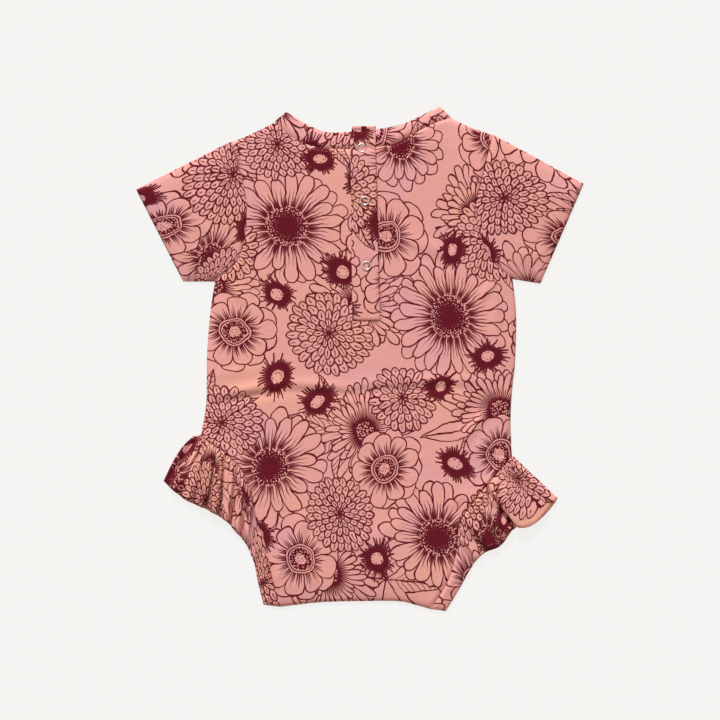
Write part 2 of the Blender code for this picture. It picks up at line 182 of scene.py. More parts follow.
LEG_EDGE_LEFT = table(
    Edge,
    (0.000, -156.4, -98.0),
    (0.044, -140.0, -112.0),
    (0.106, -121.0, -121.0),
    (0.215, -107.0, -129.6),
    (0.320, -98.6, -138.8),
    (0.434, -91.4, -147.0),
    (0.548, -87.8, -154.8),
    (0.645, -84.8, -162.0),
    (0.794, -82.0, -176.0),
    (1.000, -77.0, -196.4),
)
LEG_EDGE_RIGHT = table(
    Edge,
    (0.000, 157.6, -112.0),
    (0.060, 147.8, -123.8),
    (0.136, 134.8, -130.2),
    (0.218, 121.8, -136.8),
    (0.346, 112.4, -149.2),
    (0.457, 102.4, -153.4),
    (0.557, 94.8, -158.8),
    (0.660, 87.6, -168.8),
    (0.787, 81.0, -181.0),
    (1.000, 68.6, -201.4),
)
LEG_EDGES = {"left": LEG_EDGE_LEFT, "right": LEG_EDGE_RIGHT}
LEG_STATIONS = 220
LEG_PARTS = 20
LEG_UNDER_SHARE = 0.97  # the hidden half is this much narrower, so it stays out of sight
LEG_UNDER_WAVES = 7
LEG_UNDER_RISE = 0.3  # its waves rise by this share of the room above them
FOLD_BULGE = {"left": 4.5, "right": 0.0}  # how far the folded side swells out past a straight line
FOLD_BULGE_REACH = 0.14  # share of the strip over which that swelling dies away
FOLD_BULGE_SKEW = 0.65  # under 1, the swelling is fullest near the seam

# Each row is a wave of a gathered strip: where it stands along the free edge and its half width, both as
# shares of that edge, how high it stands, how far it leans towards the crotch, and how much further back
# towards the side it stands at the seam.
Wave = namedtuple("Wave", "at reach rise lean slant", defaults=(0.0,))
WAVES_LEFT = table(
    Wave,
    (0.065, 0.052, 3.6, 2.5),
    (0.165, 0.048, 3.0, 2.0),
    (0.250, 0.046, 3.6, 3.0),
    (0.335, 0.046, 4.4, 3.5),
    (0.425, 0.048, 3.4, 2.5),
    (0.520, 0.050, 2.8, 2.0),
    (0.620, 0.050, 2.0, 1.0),
    (0.730, 0.055, 1.2, 0.5),
)
WAVES_RIGHT = table(
    Wave,
    (0.030, 0.028, 1.4, 0.5),
    (0.148, 0.092, 5.4, 19.0, 0.15),
    (0.345, 0.040, 1.8, 1.0, 0.08),
    (0.395, 0.060, 2.8, 2.0),
    (0.505, 0.052, 2.4, 1.5),
    (0.610, 0.050, 1.8, 1.0),
    (0.730, 0.055, 1.1, 0.5),
)

# Each row is a narrow valley, in the same terms, where the cloth sinks between two waves.
VALLEYS_LEFT = table(
    Wave,
    (0.022, 0.014, -1.0, 0.5),
    (0.114, 0.020, -1.8, 1.0),
    (0.206, 0.018, -1.5, 1.0),
    (0.292, 0.022, -2.2, 1.5),
    (0.378, 0.018, -1.6, 1.0),
    (0.470, 0.020, -1.9, 1.0),
    (0.568, 0.018, -1.4, 0.5),
    (0.676, 0.020, -1.0, 0.0),
    (0.800, 0.022, -0.6, 0.0),
)
VALLEYS_RIGHT = table(
    Wave,
    (0.285, 0.034, -2.8, 0.0, 0.15),
    (0.110, 0.020, -0.8, 0.0, 0.05),
    (0.455, 0.018, -1.4, 1.0),
    (0.556, 0.018, -1.3, 0.5),
    (0.664, 0.020, -0.9, 0.0),
    (0.800, 0.022, -0.6, 0.0),
)
WAVES = {"left": WAVES_LEFT + VALLEYS_LEFT, "right": WAVES_RIGHT + VALLEYS_RIGHT}
WAVE_SHARPNESS = 0.7  # under 1, the waves are round on top and meet in sharp creases
LAYER_GAP = 0.05  # the least room between the two halves of a strip
RISE_POWER = 0.6  # how the waves grow from the seam to the free edge
LEAN_POWER = 0.9

# Each row is a small pucker at a gathered seam: its place and half width along the strip's free edge as
# shares, its rise, and how far it runs out across the strip, as a share of the strip's width.
Pucker = namedtuple("Pucker", "at reach rise run")
PUCKERS = table(
    Pucker,
    (0.040, 0.012, 0.8, 0.45),
    (0.082, 0.010, 0.6, 0.30),
    (0.118, 0.013, 1.0, 0.55),
    (0.163, 0.010, 0.7, 0.35),
    (0.205, 0.014, 0.9, 0.60),
    (0.243, 0.010, 0.6, 0.30),
    (0.281, 0.012, 0.9, 0.50),
    (0.322, 0.011, 0.7, 0.40),
    (0.356, 0.010, 0.8, 0.55),
    (0.398, 0.013, 0.6, 0.35),
    (0.436, 0.011, 0.8, 0.60),
    (0.475, 0.010, 0.6, 0.45),
    (0.521, 0.013, 0.7, 0.60),
    (0.566, 0.011, 0.5, 0.50),
    (0.612, 0.012, 0.6, 0.65),
    (0.668, 0.013, 0.4, 0.60),
    (0.727, 0.014, 0.4, 0.70),
    (0.794, 0.015, 0.3, 0.60),
    (0.870, 0.015, 0.3, 0.60),
)
PUCKER_RISE = {"left": 2.3, "right": 1.3}  # they stand this many times higher on each strip
PUCKER_RUN = {"left": 1.6, "right": 1.2}  # and run this many times further
PUCKER_ROUND = 0.7
PANEL_PUCKER = 3.4  # how far a pucker reaches into the panel
PANEL_PUCKER_OFF = 0.5  # how far off the seam it starts there

# Each row is a cuff, from its end at the folded shoulder line to its end at the underarm.
Cuff = namedtuple("Cuff", "top_x top_y low_x low_y")
CUFFS = {"left": Cuff(-178.6, 135.0, -141.6, 62.8), "right": Cuff(178.4, 139.4, 144.4, 61.2)}
SLEEVE_PARTS = 40
CUFF_HEM = 14.0  # depth of the turned hem
HEM_RISE = 0.35  # how much higher a doubled hem lies
HEM_STEP = 0.5  # how softly it rises there
HEM_GROOVE = 0.3  # depth and width of the line that the sewing presses in
HEM_GROOVE_WIDTH = 0.9
CUFF_ROUND = 0.25  # how far the cuff's edge rounds down, and over what width
CUFF_ROUND_WIDTH = 0.8
HEM_FADE = 0.3
TURN_STEPS = 6  # steps of each half turn at a folded edge

# Each row is a section of the slit's strips, from the neck down.
Strip = namedtuple("Strip", "y over_left over_right under_left under_right")
PLACKET = table(
    Strip,
    (186.0, -6.4, 12.4, -1.0, 17.0),
    (168.0, -7.4, 12.6, -1.0, 17.6),
    (110.0, -6.8, 14.0, -0.5, 18.6),
    (30.8, -6.0, 16.2, 0.0, 19.4),
)
PLACKET_ROWS = 120
PLACKET_COLUMNS = 20
UNDER_TOP = 158.0
EDGE_LIFT = 0.8  # how far the loose right edge of the upper strip stands up
PLACKET_EDGE = 0.5  # how far the strip's edges round down
PLACKET_EDGE_WIDTH = 1.1
SNAPS = (Point(1.2, 168.4), Point(3.6, 126.2), Point(5.2, 74.5))
SNAP_OUTER = 7.4
SNAP_WIRE = 0.95
SNAP_FLATNESS = 0.8
SNAP_SINK = 0.12
SNAP_DIMPLE = 0.35  # how far the cloth is pressed down round a ring
SNAP_DIMPLE_WIDTH = 1.4
CROTCH_SNAPS = ("crotch_snap_1", "crotch_snap_2", "crotch_snap_3")

# Each row is a crease of the panels and sleeves: its two ends, its bow to the left, its rise, which is
# negative in a trough, and its width.
Crease = namedtuple("Crease", "x0 y0 x1 y1 bow rise spread")
CREASES = table(
    Crease,
    (-121.0, -31.5, -60.0, -19.5, 1.5, 1.6, 3.4),
    (-122.0, -38.5, -58.0, -26.5, 1.5, -1.4, 3.0),
    (-66.0, -19.5, -4.0, -23.5, 1.5, 1.2, 3.4),
    (-66.0, -26.5, 4.0, -30.5, 1.5, -1.0, 3.0),
    (-12.0, -21.0, 104.0, -17.5, 2.5, 1.0, 3.8),
    (-10.0, -28.0, 98.0, -25.0, 2.5, -1.0, 3.2),
    (-119.0, -14.0, -84.0, -9.0, 1.0, 0.5, 4.0),
    (114.0, -32.0, 82.0, -68.0, -2.5, 1.4, 4.2),
    (113.0, -22.0, 74.0, -56.0, -2.0, -1.0, 4.4),
    (106.0, -52.0, 90.0, -80.0, -1.0, 0.6, 3.6),
    (-43.0, -124.0, -70.0, -181.0, -2.0, 1.3, 4.0),
    (-35.0, -130.0, -54.0, -178.0, -2.0, -0.9, 4.0),
    (-30.0, -154.0, 36.0, -129.0, -4.0, 0.6, 6.5),
    (72.0, -134.0, 74.0, -172.0, 2.0, -1.1, 5.0),
    (50.0, -136.0, 70.0, -156.0, 1.0, 0.6, 4.5),
    (-78.0, -96.0, -60.0, -120.0, 1.5, 0.6, 4.0),
    (-92.0, -80.0, -66.0, -86.0, 1.5, -0.6, 4.0),
    (-84.0, -120.0, -72.0, -150.0, 2.0, 0.5, 4.0),
    (90.0, -104.0, 66.0, -118.0, 1.0, 0.6, 3.8),
    (32.0, 96.0, 82.0, 77.0, 2.0, 0.8, 5.5),
    (30.0, 88.0, 76.0, 70.0, 2.0, -0.5, 5.0),
    (35.0, 110.0, 35.0, 48.0, 1.5, 0.5, 4.5),
    (-101.0, 138.0, -92.0, 84.0, -3.0, 0.8, 3.4),
    (86.0, 150.0, 97.0, 80.0, 3.0, 0.8, 3.4),
    (108.0, 58.0, 111.0, -8.0, -2.0, 0.7, 4.0),
    (116.0, 54.0, 118.0, -2.0, -1.5, -0.6, 3.6),
    (-108.0, 50.0, -113.0, 4.0, 1.5, 0.4, 4.0),
    (-112.0, 66.0, -92.0, 44.0, 1.5, 0.8, 4.2),
    (114.0, 66.0, 96.0, 48.0, -1.5, 0.8, 4.2),
    (-118.0, 84.0, -150.0, 84.0, 2.0, 0.5, 4.0),
    (-104.0, 100.0, -144.0, 116.0, 3.0, 0.5, 5.0),
    (-114.0, 150.0, -152.0, 132.0, 2.0, -0.4, 4.5),
    (124.0, 84.0, 150.0, 86.0, -2.0, 0.5, 4.0),
    (106.0, 106.0, 146.0, 118.0, -3.0, 0.5, 5.0),
    (116.0, 152.0, 150.0, 136.0, -2.0, -0.4, 4.5),
    (-70.0, 172.0, -36.0, 158.0, 2.0, 0.5, 5.0),
    (70.0, 176.0, 40.0, 160.0, -2.0, 0.5, 5.0),
    (-36.0, 60.0, -10.0, 36.0, 2.0, 0.4, 5.0),
    (18.0, 26.0, 44.0, 8.0, -2.0, 0.5, 5.0),
    (4.0, 28.0, 2.0, 2.0, 1.0, 0.5, 4.0),
    (-60.0, 20.0, -24.0, 12.0, 1.5, 0.3, 6.0),
    (-20.0, -70.0, 30.0, -62.0, 3.0, 0.3, 7.0),
    (-50.0, 130.0, -40.0, 84.0, 3.0, 0.3, 7.0),
    (-20.0, -33.0, 28.0, -36.0, 1.0, 0.5, 2.4),
    (113.0, -26.0, 86.0, -54.0, -1.5, -1.2, 2.4),
    (-98.0, 132.0, -91.0, 96.0, -2.0, -0.6, 2.0),
    (90.0, 146.0, 98.0, 92.0, 2.5, -0.6, 2.0),
    (-106.0, 58.0, -84.0, 34.0, 1.5, 0.5, 2.6),
    (108.0, 60.0, 88.0, 36.0, -1.5, 0.5, 2.6),
    (-46.0, -128.0, -69.0, -174.0, -1.5, -1.1, 2.3),
    (14.0, 40.0, 26.0, 22.0, -1.0, 0.4, 2.6),
    (-12.0, 40.0, -26.0, 18.0, 1.0, 0.4, 2.6),
)
CREASE_TAPER = 0.6  # how a crease rises from its ends
FOLD_FADE = 5.0  # distance from the outline within which creases die away
SEAM_DIP = 0.75  # depth of the groove in which two pieces are sewn together
SEAM_WIDTH = 1.5
SEAM_SWELL = 0.3  # the soft ridge beside it, over the seam allowance
SEAM_SWELL_AT = 3.6
SEAM_SWELL_WIDTH = 2.2
SEAM_TUCK = 0.7  # how far a sewn-on piece reaches in under the panel's edge
SEAM_TUCK_DROP = 0.8
SEAM_CROWD = 1.15  # over 1, a sewn-on piece's rows crowd towards its seam
CURVE_SAMPLES = 12  # for each piece of a curve, where its length is measured
OUTLINE_LONG, OUTLINE_SIDE, OUTLINE_CROTCH = 30, 20, 16  # straight pieces that stand for the outline's curves
WELD = 0.01

# The printed cloth repeats every so far, and a piece is cut from its own place on it.
REPEAT = Point(340.0, 400.0)
UV_UNIT = 100.0  # millimetres for each unit of the map that holds a piece's flat cut
NO_PLACE = (2000.0, 2000.0, 40.0)  # the place and radius of a face's motif if it has none
NO_FORM = (0.0, 1.0, 8.0)
FACE_REACH = 4.0  # a motif is given to the faces this far outside it too, to be sure that none of it is lost

# Each row is a motif on the printed cloth: its middle, its radius, its turn in degrees, how far it is seen
# from the side as a share of its width, and its number of petals.
Motif = namedtuple("Motif", "x y radius turn squash petals")
SPRAYS = table(
    Motif,
    (-6, 66, 60, 10, 1.0, 7),
    (108, 88, 62, 40, 0.9, 8),
    (-120, 74, 56, 75, 1.0, 6),
    (-14, -60, 60, 20, 0.9, 7),
    (100, -52, 60, 55, 1.0, 8),
    (-130, -48, 58, 5, 0.9, 7),
    (20, -176, 60, 30, 1.0, 8),
    (-84, -160, 56, 65, 0.9, 7),
    (-30, 182, 54, 80, 0.9, 6),
    (140, -160, 56, 15, 1.0, 7),
)
ASTERS = table(
    Motif,
    (0, 42, 47, 0, 0.90, 30),
    (-116, 58, 42, 40, 0.80, 28),
    (4, -58, 46, 80, 0.84, 32),
    (112, -40, 44, 15, 0.88, 30),
    (-24, -172, 43, 55, 0.86, 30),
    (94, 116, 45, 100, 0.82, 31),
    (-112, 158, 42, 20, 0.88, 28),
    (-136, -128, 44, 70, 0.84, 30),
    (156, -158, 40, 30, 0.86, 28),
    (-160, -40, 40, 120, 0.86, 29),
)
DAISIES = table(
    Motif,
    (-58, 106, 54, 20, 0.92, 19),
    (72, 34, 56, 75, 0.86, 21),
    (-72, -86, 52, 130, 0.90, 17),
    (62, -142, 50, 45, 0.88, 18),
    (152, 122, 46, 10, 0.85, 16),
    (-154, 6, 44, 100, 0.84, 15),
    (32, 172, 40, 60, 0.88, 15),
    (156, -88, 45, 160, 0.84, 16),
)
COSMOS = table(
    Motif,
    (20, 98, 38, 50, 0.94, 8),
    (-100, 22, 37, 15, 0.90, 9),
    (20, -88, 36, 120, 0.85, 9),
    (112, -76, 35, 95, 0.92, 8),
    (-48, -160, 37, 80, 0.88, 8),
    (-144, 122, 35, 25, 0.90, 9),
    (150, 26, 36, 140, 0.86, 9),
    (-162, -168, 34, 10, 0.90, 8),
    (106, 176, 34, 70, 0.86, 9),
)
ROSETTES = table(
    Motif,
    (-24, 20, 37, 30, 0.90, 5),
    (104, 96, 35, 80, 0.86, 5),
    (-110, -50, 34, 10, 0.88, 5),
    (34, -32, 29, 50, 0.92, 4),
    (112, -134, 38, 120, 0.88, 6),
    (-66, 172, 33, 15, 0.90, 5),
    (-16, -124, 32, 65, 0.88, 5),
    (-106, 88, 29, 100, 0.90, 4),
    (160, -24, 30, 45, 0.88, 5),
    (-158, -94, 33, 20, 0.90, 5),
    (-100, -190, 30, 60, 0.90, 4),
)
BURSTS = table(
    Motif,
    (-14, 70, 21, 20, 0.80, 46),
    (0, 140, 20, 70, 0.70, 44),
    (-66, 52, 19, 40, 0.75, 42),
    (74, 88, 19, 100, 0.72, 44),
    (102, 2, 20, 10, 0.78, 46),
    (-34, -34, 22, 150, 0.72, 48),
    (76, -84, 20, 35, 0.76, 46),
    (-82, -140, 20, 60, 0.74, 44),
    (14, -160, 19, 80, 0.78, 42),
    (92, -186, 20, 130, 0.72, 44),
    (-116, 136, 20, 15, 0.76, 44),
    (136, 70, 20, 50, 0.78, 46),
    (150, -128, 20, 95, 0.74, 44),
    (-146, 58, 19, 30, 0.76, 42),
    (-134, -12, 18, 75, 0.74, 40),
    (64, -22, 17, 140, 0.76, 40),
    (-66, -14, 22, 110, 0.78, 46),
    (-32, 160, 18, 25, 0.76, 42),
    (116, 150, 19, 85, 0.74, 44),
    (-160, 96, 18, 30, 0.76, 42),
)
LAYERS = {
    "spray": SPRAYS,
    "aster": ASTERS,
    "daisy": DAISIES,
    "cosmos": COSMOS,
    "rosette": ROSETTES,
    "burst": BURSTS,
}

# Each row is the place on the printed cloth that a piece is cut from: a shift, and a turn in degrees.
Cut = namedtuple("Cut", "x y turn")
CUTS = {
    "back": Cut(0, 0, 0),
    "front": Cut(150, 60, 0),
    "neckband": Cut(-20, -150, -4),
    "placket_over": Cut(118, -36, 0),
    "placket_under": Cut(60, 90, 0),
    "sleeve_left": Cut(96, -150, 24),
    "sleeve_right": Cut(-60, -128, -24),
    "leg_left": Cut(-120, -20, 50),
    "leg_right": Cut(-110, -72, -40),
}
GATHER = 1.15  # how much fuller a leg strip is at the side than its waves, for the folds too small to model
GATHER_END = 1.0  # and at the crotch

# Inks and grounds, linear
GROUND = (0.780, 0.344, 0.302, 1.0)
GROUND_PEACH = (0.795, 0.361, 0.276, 1.0)
GROUND_LILAC = (0.745, 0.339, 0.337, 1.0)
INK = (0.120, 0.004, 0.012, 1.0)
THREAD = (0.730, 0.325, 0.290, 1.0)
METAL = (0.86, 0.85, 0.82, 1.0)
FLOOR = (0.913, 0.905, 0.888, 1.0)
PEN = 0.58  # half the width of a drawn line
PEN_SWELL = 0.20
PEN_EDGE = 4.0  # how sharp its edge is, for each millimetre
VEIN_TAPER = 0.75  # how much narrower than the pen a vein's end is
WOBBLE = 2.6  # how far a drawn line wanders
MOST_OUT = 3.0  # petals are worked out to this many times their length
GRAIN = 1.9  # pitch of the seeds in a flower's disc
KNIT = 0.9  # pitch of the jersey's ribs

# The methods that a number over a surface has for each kind of Math node
MATH_METHODS = {
    "ADD": "__add__ __radd__",
    "SUBTRACT": "__sub__",
    "MULTIPLY": "__mul__ __rmul__",
    "DIVIDE": "__truediv__",
    "POWER": "__pow__",
    "ABSOLUTE": "__abs__",
    "LESS_THAN": "__lt__",
    "GREATER_THAN": "__gt__",
    "FLOOR": "floor",
    "FRACT": "fraction",
    "SQRT": "root",
    "SINE": "sine",
    "MAXIMUM": "most",
    "MINIMUM": "least",
}

# Sewing
STITCH = 2.3
STITCH_PITCH = 3.1
STITCH_WIDTH = 0.40
STITCH_HEIGHT = 0.22
TWIN_NEEDLE = (-2.0, 2.0)  # where the two rows of a cuff lie about the hem's edge
CUFF_ENDS = 3  # rows of the sleeve without stitches at each end of them
FRILL_HEM = -3  # the column of a leg strip that its row of stitches follows, and the first row that has them
FRILL_START = 4
PLACKET_SEWN = (3, 2)  # how far from the strip's ends its row of stitches starts and stops
PLACKET_SEAM = 1.8
PLACKET_END_ROWS = (2, 9)
NECK_SEAM = 2.6  # how far below the neck seam its row of stitches lies
NECK_SEWN = 160
NECK_RUNS = ((4, 66), (96, -4))

# Light: the window's share of it, how far it stands off the vertical, which way round from the neck, and how
# soft it is
WINDOW_SHARE = 0.62
WINDOW_TILT = 60.0
WINDOW_TURN = -14.0
WINDOW_SPREAD = 14.0
SKY = (1.12, 0.94, 0.90)  # warm in the shade, and the window makes up for it, so a flat floor stays neutral
FLOOR_GLOW = 0.92  # the share of the floor's light that doesn't show shadows

CAMERA_HEIGHT = 2400.0
VIEW_WIDTH = 576.0  # what the square frame spans at the garment
VIEW_DOWN = 0.8  # the photograph's middle lies this far below the garment's
SENSOR = 36.0


def bell(off, width):
    """1 where a distance is nothing, dying away over a width."""
    return np.exp(-((off / width) ** 2))


def arch(share):
    """0 at both ends of a share, and 1 half way."""
    return np.sin(math.pi * np.clip(share, 0, 1))


def paired(first, second):
    """Flat points from two arrays of numbers that broadcast together."""
    return np.stack(np.broadcast_arrays(first, second), axis=-1)


def points_of(rows, side=""):
    """The columns x and y of a table, or those of one side, as an array."""
    prefix = side and side + "_"
    return np.array([(getattr(row, prefix + "x"), getattr(row, prefix + "y")) for row in rows])


def along(points, at):
    """The smooth curve through the points, at row numbers that may be fractions."""
    points = np.asarray(points, float)
    step = np.linalg.norm(np.diff(points, axis=0), axis=1)[:, None]
    slope = np.empty_like(points)
    slope[1:-1] = (points[2:] - points[:-2]) / (step[1:] + step[:-1])
    slope[0] = 1.5 * (points[1] - points[0]) / step[0] - 0.5 * slope[1]
    slope[-1] = 1.5 * (points[-1] - points[-2]) / step[-1] - 0.5 * slope[-2]
    row = np.clip(np.floor(at).astype(int), 0, len(step) - 1)
    part = (at - row)[:, None]
    length = step[row]
    return (
        points[row] * (2 * part**3 - 3 * part**2 + 1)
        + slope[row] * length * (part**3 - 2 * part**2 + part)
        + points[row + 1] * (3 * part**2 - 2 * part**3)
        + slope[row + 1] * length * (part**3 - part**2)
    )


def even_rows(points, count):
    """Row numbers that part the smooth curve through the points into equal lengths."""
    fine = np.linspace(0, len(points) - 1, CURVE_SAMPLES * count)
    steps = np.linalg.norm(np.diff(along(points, fine), axis=0), axis=1)
    length = np.concatenate([[0], np.cumsum(steps)])
    return np.interp(np.linspace(0, length[-1], count + 1), length, fine)


def evenly(points, count):
    return along(points, even_rows(points, count))


def on_line(line, share):
    """Points of a polyline whose stretches count alike, at shares of it."""
    at = share * (len(line) - 1)
    return np.stack([np.interp(at, range(len(line)), line[:, axis]) for axis in (0, 1)], axis=-1)


def side_edge(side, thin=1):
    """One side edge of both panels, from the crotch to the shoulder."""
    runs = ((LEG, LEG_ROWS), (SIDE, SIDE_ROWS), (ARMHOLE, ARM_ROWS))
    leg, waist, arm = [evenly(points_of(rows, side), count // thin) for rows, count in runs]
    return np.concatenate([leg, waist[1:], arm[1:]])


def top_edge(neck, thin=1):
    """The shoulders and the neck, from left to right."""
    left, right = [evenly(points_of(SHOULDER, side), SHOULDER_COLUMNS // thin) for side in SIDES]
    return np.concatenate([left, evenly(points_of(neck), NECK_COLUMNS // thin)[1:], right[-2::-1]])


def leg_seam(side):
    """The panels' edge at a leg opening, from the side to the crotch."""
    return side_edge(side)[LEG_ROWS::-1]


def armhole(side):
    """The panels' edge at an armhole, from the armpit to the shoulder."""
    return side_edge(side)[-ARM_ROWS - 1 :]


def outline():
    """The closed outline of the whole garment, which its upper layer sinks to."""
    cuffs = {side: np.reshape(CUFFS[side], (2, 2)) for side in SIDES}
    band = evenly(points_of(BAND_BACK), OUTLINE_LONG)
    return np.concatenate(
        [
            band,
            points_of(SHOULDER, "right")[::-1],
            cuffs["right"],
            evenly(points_of(SIDE, "right"), OUTLINE_SIDE)[::-1],
            evenly(points_of(LEG_EDGES["right"]), OUTLINE_LONG),
            evenly(points_of(CROTCH), OUTLINE_CROTCH)[::-1],
            evenly(points_of(LEG_EDGES["left"]), OUTLINE_LONG)[::-1],
            evenly(points_of(SIDE, "left"), OUTLINE_SIDE),
            cuffs["left"][::-1],
            points_of(SHOULDER, "left"),
            band[:1],
        ]
    )


def off_line(points, line):
    """Each point's distance from an open polyline."""
    nearest = np.full(points.shape[:-1], np.inf)
    for start, end in zip(line, line[1:]):
        run = end - start
        share = np.clip((points - start) @ run / (run @ run), 0, 1)
        nearest = np.minimum(nearest, np.linalg.norm(points - start - share[..., None] * run, axis=-1))
    return nearest


RIM = outline()
SEAMS = (*map(armhole, SIDES), *map(leg_seam, SIDES), evenly(points_of(NECK_BACK), NECK_COLUMNS))


def crease_rise(points, crease):
    """How far one crease lifts the cloth: a bowed line that tapers away at both ends."""
    start = np.array([crease.x0, crease.y0])
    run = np.array([crease.x1, crease.y1]) - start
    length = math.hypot(*run)
    share = (points - start) @ run / length**2
    aside = (points - start) @ np.array([-run[1], run[0]]) / length
    inner = np.clip(share, 0, 1)
    aside = aside - crease.bow * 4 * inner * (1 - inner)
    off = np.hypot(aside, (share - inner) * length)
    return crease.rise * arch(share) ** CREASE_TAPER * bell(off, crease.spread)


def height(points):
    """How far the upper layer rises over its level near the outline."""
    inside = off_line(points, RIM)
    rise = LOFT * (1 - np.exp(-inside / ROLL)) - EDGE_DROP * bell(inside, EDGE_ROUND)
    fade = 1 - bell(inside, FOLD_FADE)
    for crease in CREASES:
        rise = rise + fade * crease_rise(points, crease)
    free = 1 - bell(inside, SEAM_SWELL_AT)
    for seam in SEAMS:
        off = off_line(points, seam)
        rise = rise - free * SEAM_DIP * bell(off, SEAM_WIDTH)
        rise = rise + free * SEAM_SWELL * bell(off - SEAM_SWELL_AT, SEAM_SWELL_WIDTH)
    return np.maximum(rise, -EDGE_DROP)


def laid(points, level, lift=0.0):
    """The points of a layer at its level, raised by what lies under it."""
    z = np.broadcast_to(level + lift, points.shape[:-1])
    return np.concatenate([points, z[..., None]], axis=-1)


def upper(points, above=0.0):
    """The points of the upper layer, in its creases."""
    return laid(points, HIGH + above, height(points))


def half_turn(before, last, first):
    """The rows between two layers of a strip that is folded over, rounding out past the fold."""
    forward = (last - before)[:, :2]
    forward = forward / np.linalg.norm(forward, axis=1)[:, None]
    middle = (last + first) / 2
    radius = (last - first)[:, 2] / 2
    rows = []
    for step in range(1, TURN_STEPS):
        angle = math.pi * step / TURN_STEPS
        row = middle.copy()
        row[:, :2] += forward * (np.abs(radius) * math.sin(angle))[:, None]
        row[:, 2] += radius * math.cos(angle)
        rows.append(row)
    return rows


def folded(*layers):
    """One grid from layers that follow on from each other, with a half turn between each two."""
    rows = list(layers[0])
    for layer in layers[1:]:
        rows += half_turn(rows[-2], rows[-1], layer[0])
        rows += list(layer)
    return np.array(rows)


def across(seam, edge, parts, tuck=SEAM_TUCK):
    """Rows from a seam to a free edge, starting a little under the panel."""
    width = np.linalg.norm(edge - seam, axis=1)[:, None]
    share = -tuck / width + (1 + tuck / width) * np.linspace(0, 1, parts + 1) ** SEAM_CROWD
    return seam[:, None] + (edge - seam)[:, None] * share[..., None], share


def tucked(layer):
    """Lets a layer's first points down under the panel's edge."""
    layer[:, 0, 2] -= SEAM_TUCK_DROP
    return layer


def walked(line):
    """How far along a line of points each of them lies."""
    steps = np.linalg.norm(np.diff(line, axis=0), axis=1)
    return np.concatenate([[0], np.cumsum(steps)])


def cut_from(name, flat):
    """Flat points of a piece, moved to the place on the printed cloth that it is cut from."""
    cut = CUTS[name]
    turn = math.radians(cut.turn)
    spin = np.array([[math.cos(turn), -math.sin(turn)], [math.sin(turn), math.cos(turn)]])
    return flat @ spin.T + (cut.x, cut.y)


def unrolled(grid):
    """Flat points of a strip's grid: along its middle line one way and across it the other."""
    return paired(walked(grid[:, grid.shape[1] // 2])[:, None], walked(grid[len(grid) // 2]))


# Where the garment's middle lies in the frame, from its middle ring
RING_LOW, RING_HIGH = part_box("snap_ring_2")
SHIFT = np.array([(RING_LOW[i] + RING_HIGH[i]) / 2 / MM - SNAPS[1][i] for i in (0, 1)] + [0.0])


def add_object(name, bm, surface):
    """A smooth object of one material from a mesh under construction."""
    mesh = bpy.data.meshes.new(name)
    bm.to_mesh(mesh)
    bm.free()
    mesh.shade_smooth()
    mesh.materials.append(surface)
    made = bpy.data.objects.new(name, mesh)
    bpy.context.scene.collection.objects.link(made)
    return made


def applied(made):
    """The object with its modifiers applied to its mesh."""
    bpy.context.view_layer.update()
    graph = bpy.context.evaluated_depsgraph_get()
    mesh = bpy.data.meshes.new_from_object(made.evaluated_get(graph))
    made.modifiers.clear()
    made.data = mesh
    return made


def cloth(name, grid, flat, surface, closed=False, slit=()):
    """A thin wall of cloth on a grid of points, with its flat cut as a UV map and its print laid on it.

    A slit is a list of the first corners, by row and column, of the faces that are left out."""
    rows, columns = grid.shape[:2]
    bm = bmesh.new()
    bmesh.ops.create_grid(bm, x_segments=columns - 1, y_segments=rows - 1, size=1)
    cut_map = bm.loops.layers.uv.new("cut")
    place = {}
    for vert in bm.verts:
        at = round((vert.co.y + 1) / 2 * (rows - 1)), round((vert.co.x + 1) / 2 * (columns - 1))
        place[vert] = at
        vert.co = (grid[at] + SHIFT) * MM
    opened = []
    for face in bm.faces:
        for corner in face.loops:
            corner[cut_map].uv = flat[place[corner.vert]] / UV_UNIT
        if slit and min(place[vert] for vert in face.verts) in slit:
            opened.append(face)
    bmesh.ops.delete(bm, geom=opened, context="FACES")
    if closed:
        bmesh.ops.remove_doubles(bm, verts=bm.verts, dist=WELD * MM)
    bmesh.ops.recalc_face_normals(bm, faces=bm.faces)
    made = add_object(name, bm, surface)
    solidify = made.modifiers.new("Wall", "SOLIDIFY")
    solidify.thickness = WALL * MM
    solidify.offset = 0
    solidify.use_even_offset = False
    lay_print(applied(made))
    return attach(made, "root")


def lay_print(made):
    """Gives each face of a piece the motif of each printed layer that it lies in."""
    mesh = made.data
    corners = np.empty(len(mesh.loops) * 2, np.float32)
    mesh.uv_layers["cut"].data.foreach_get("uv", corners)
    corners = corners.reshape(-1, 2) * UV_UNIT
    first, total = np.empty((2, len(mesh.polygons)), np.int32)
    mesh.polygons.foreach_get("loop_start", first)
    mesh.polygons.foreach_get("loop_total", total)
    middle = np.add.reduceat(corners, first, axis=0) / total[:, None]
    repeat = np.array(REPEAT)
    for name, motifs in LAYERS.items():
        best = np.ones(len(middle))
        at = np.tile(NO_PLACE, (len(middle), 1))
        form = np.tile(NO_FORM, (len(middle), 1))
        for motif in motifs:
            centre = np.array([motif.x, motif.y])
            centre = centre + repeat * np.round((middle - centre) / repeat)
            off = np.linalg.norm(middle - centre, axis=1) / (motif.radius + FACE_REACH)
            near = off < best
            best[near] = off[near]
            at[near] = np.insert(centre[near], 2, motif.radius, axis=1)
            form[near] = math.radians(motif.turn), motif.squash, motif.petals
        for suffix, values in (("at", at), ("form", form)):
            layer = mesh.attributes.new(f"{name}_{suffix}", "FLOAT_VECTOR", "FACE")
            layer.data.foreach_set("vector", values.astype(np.float32).ravel())


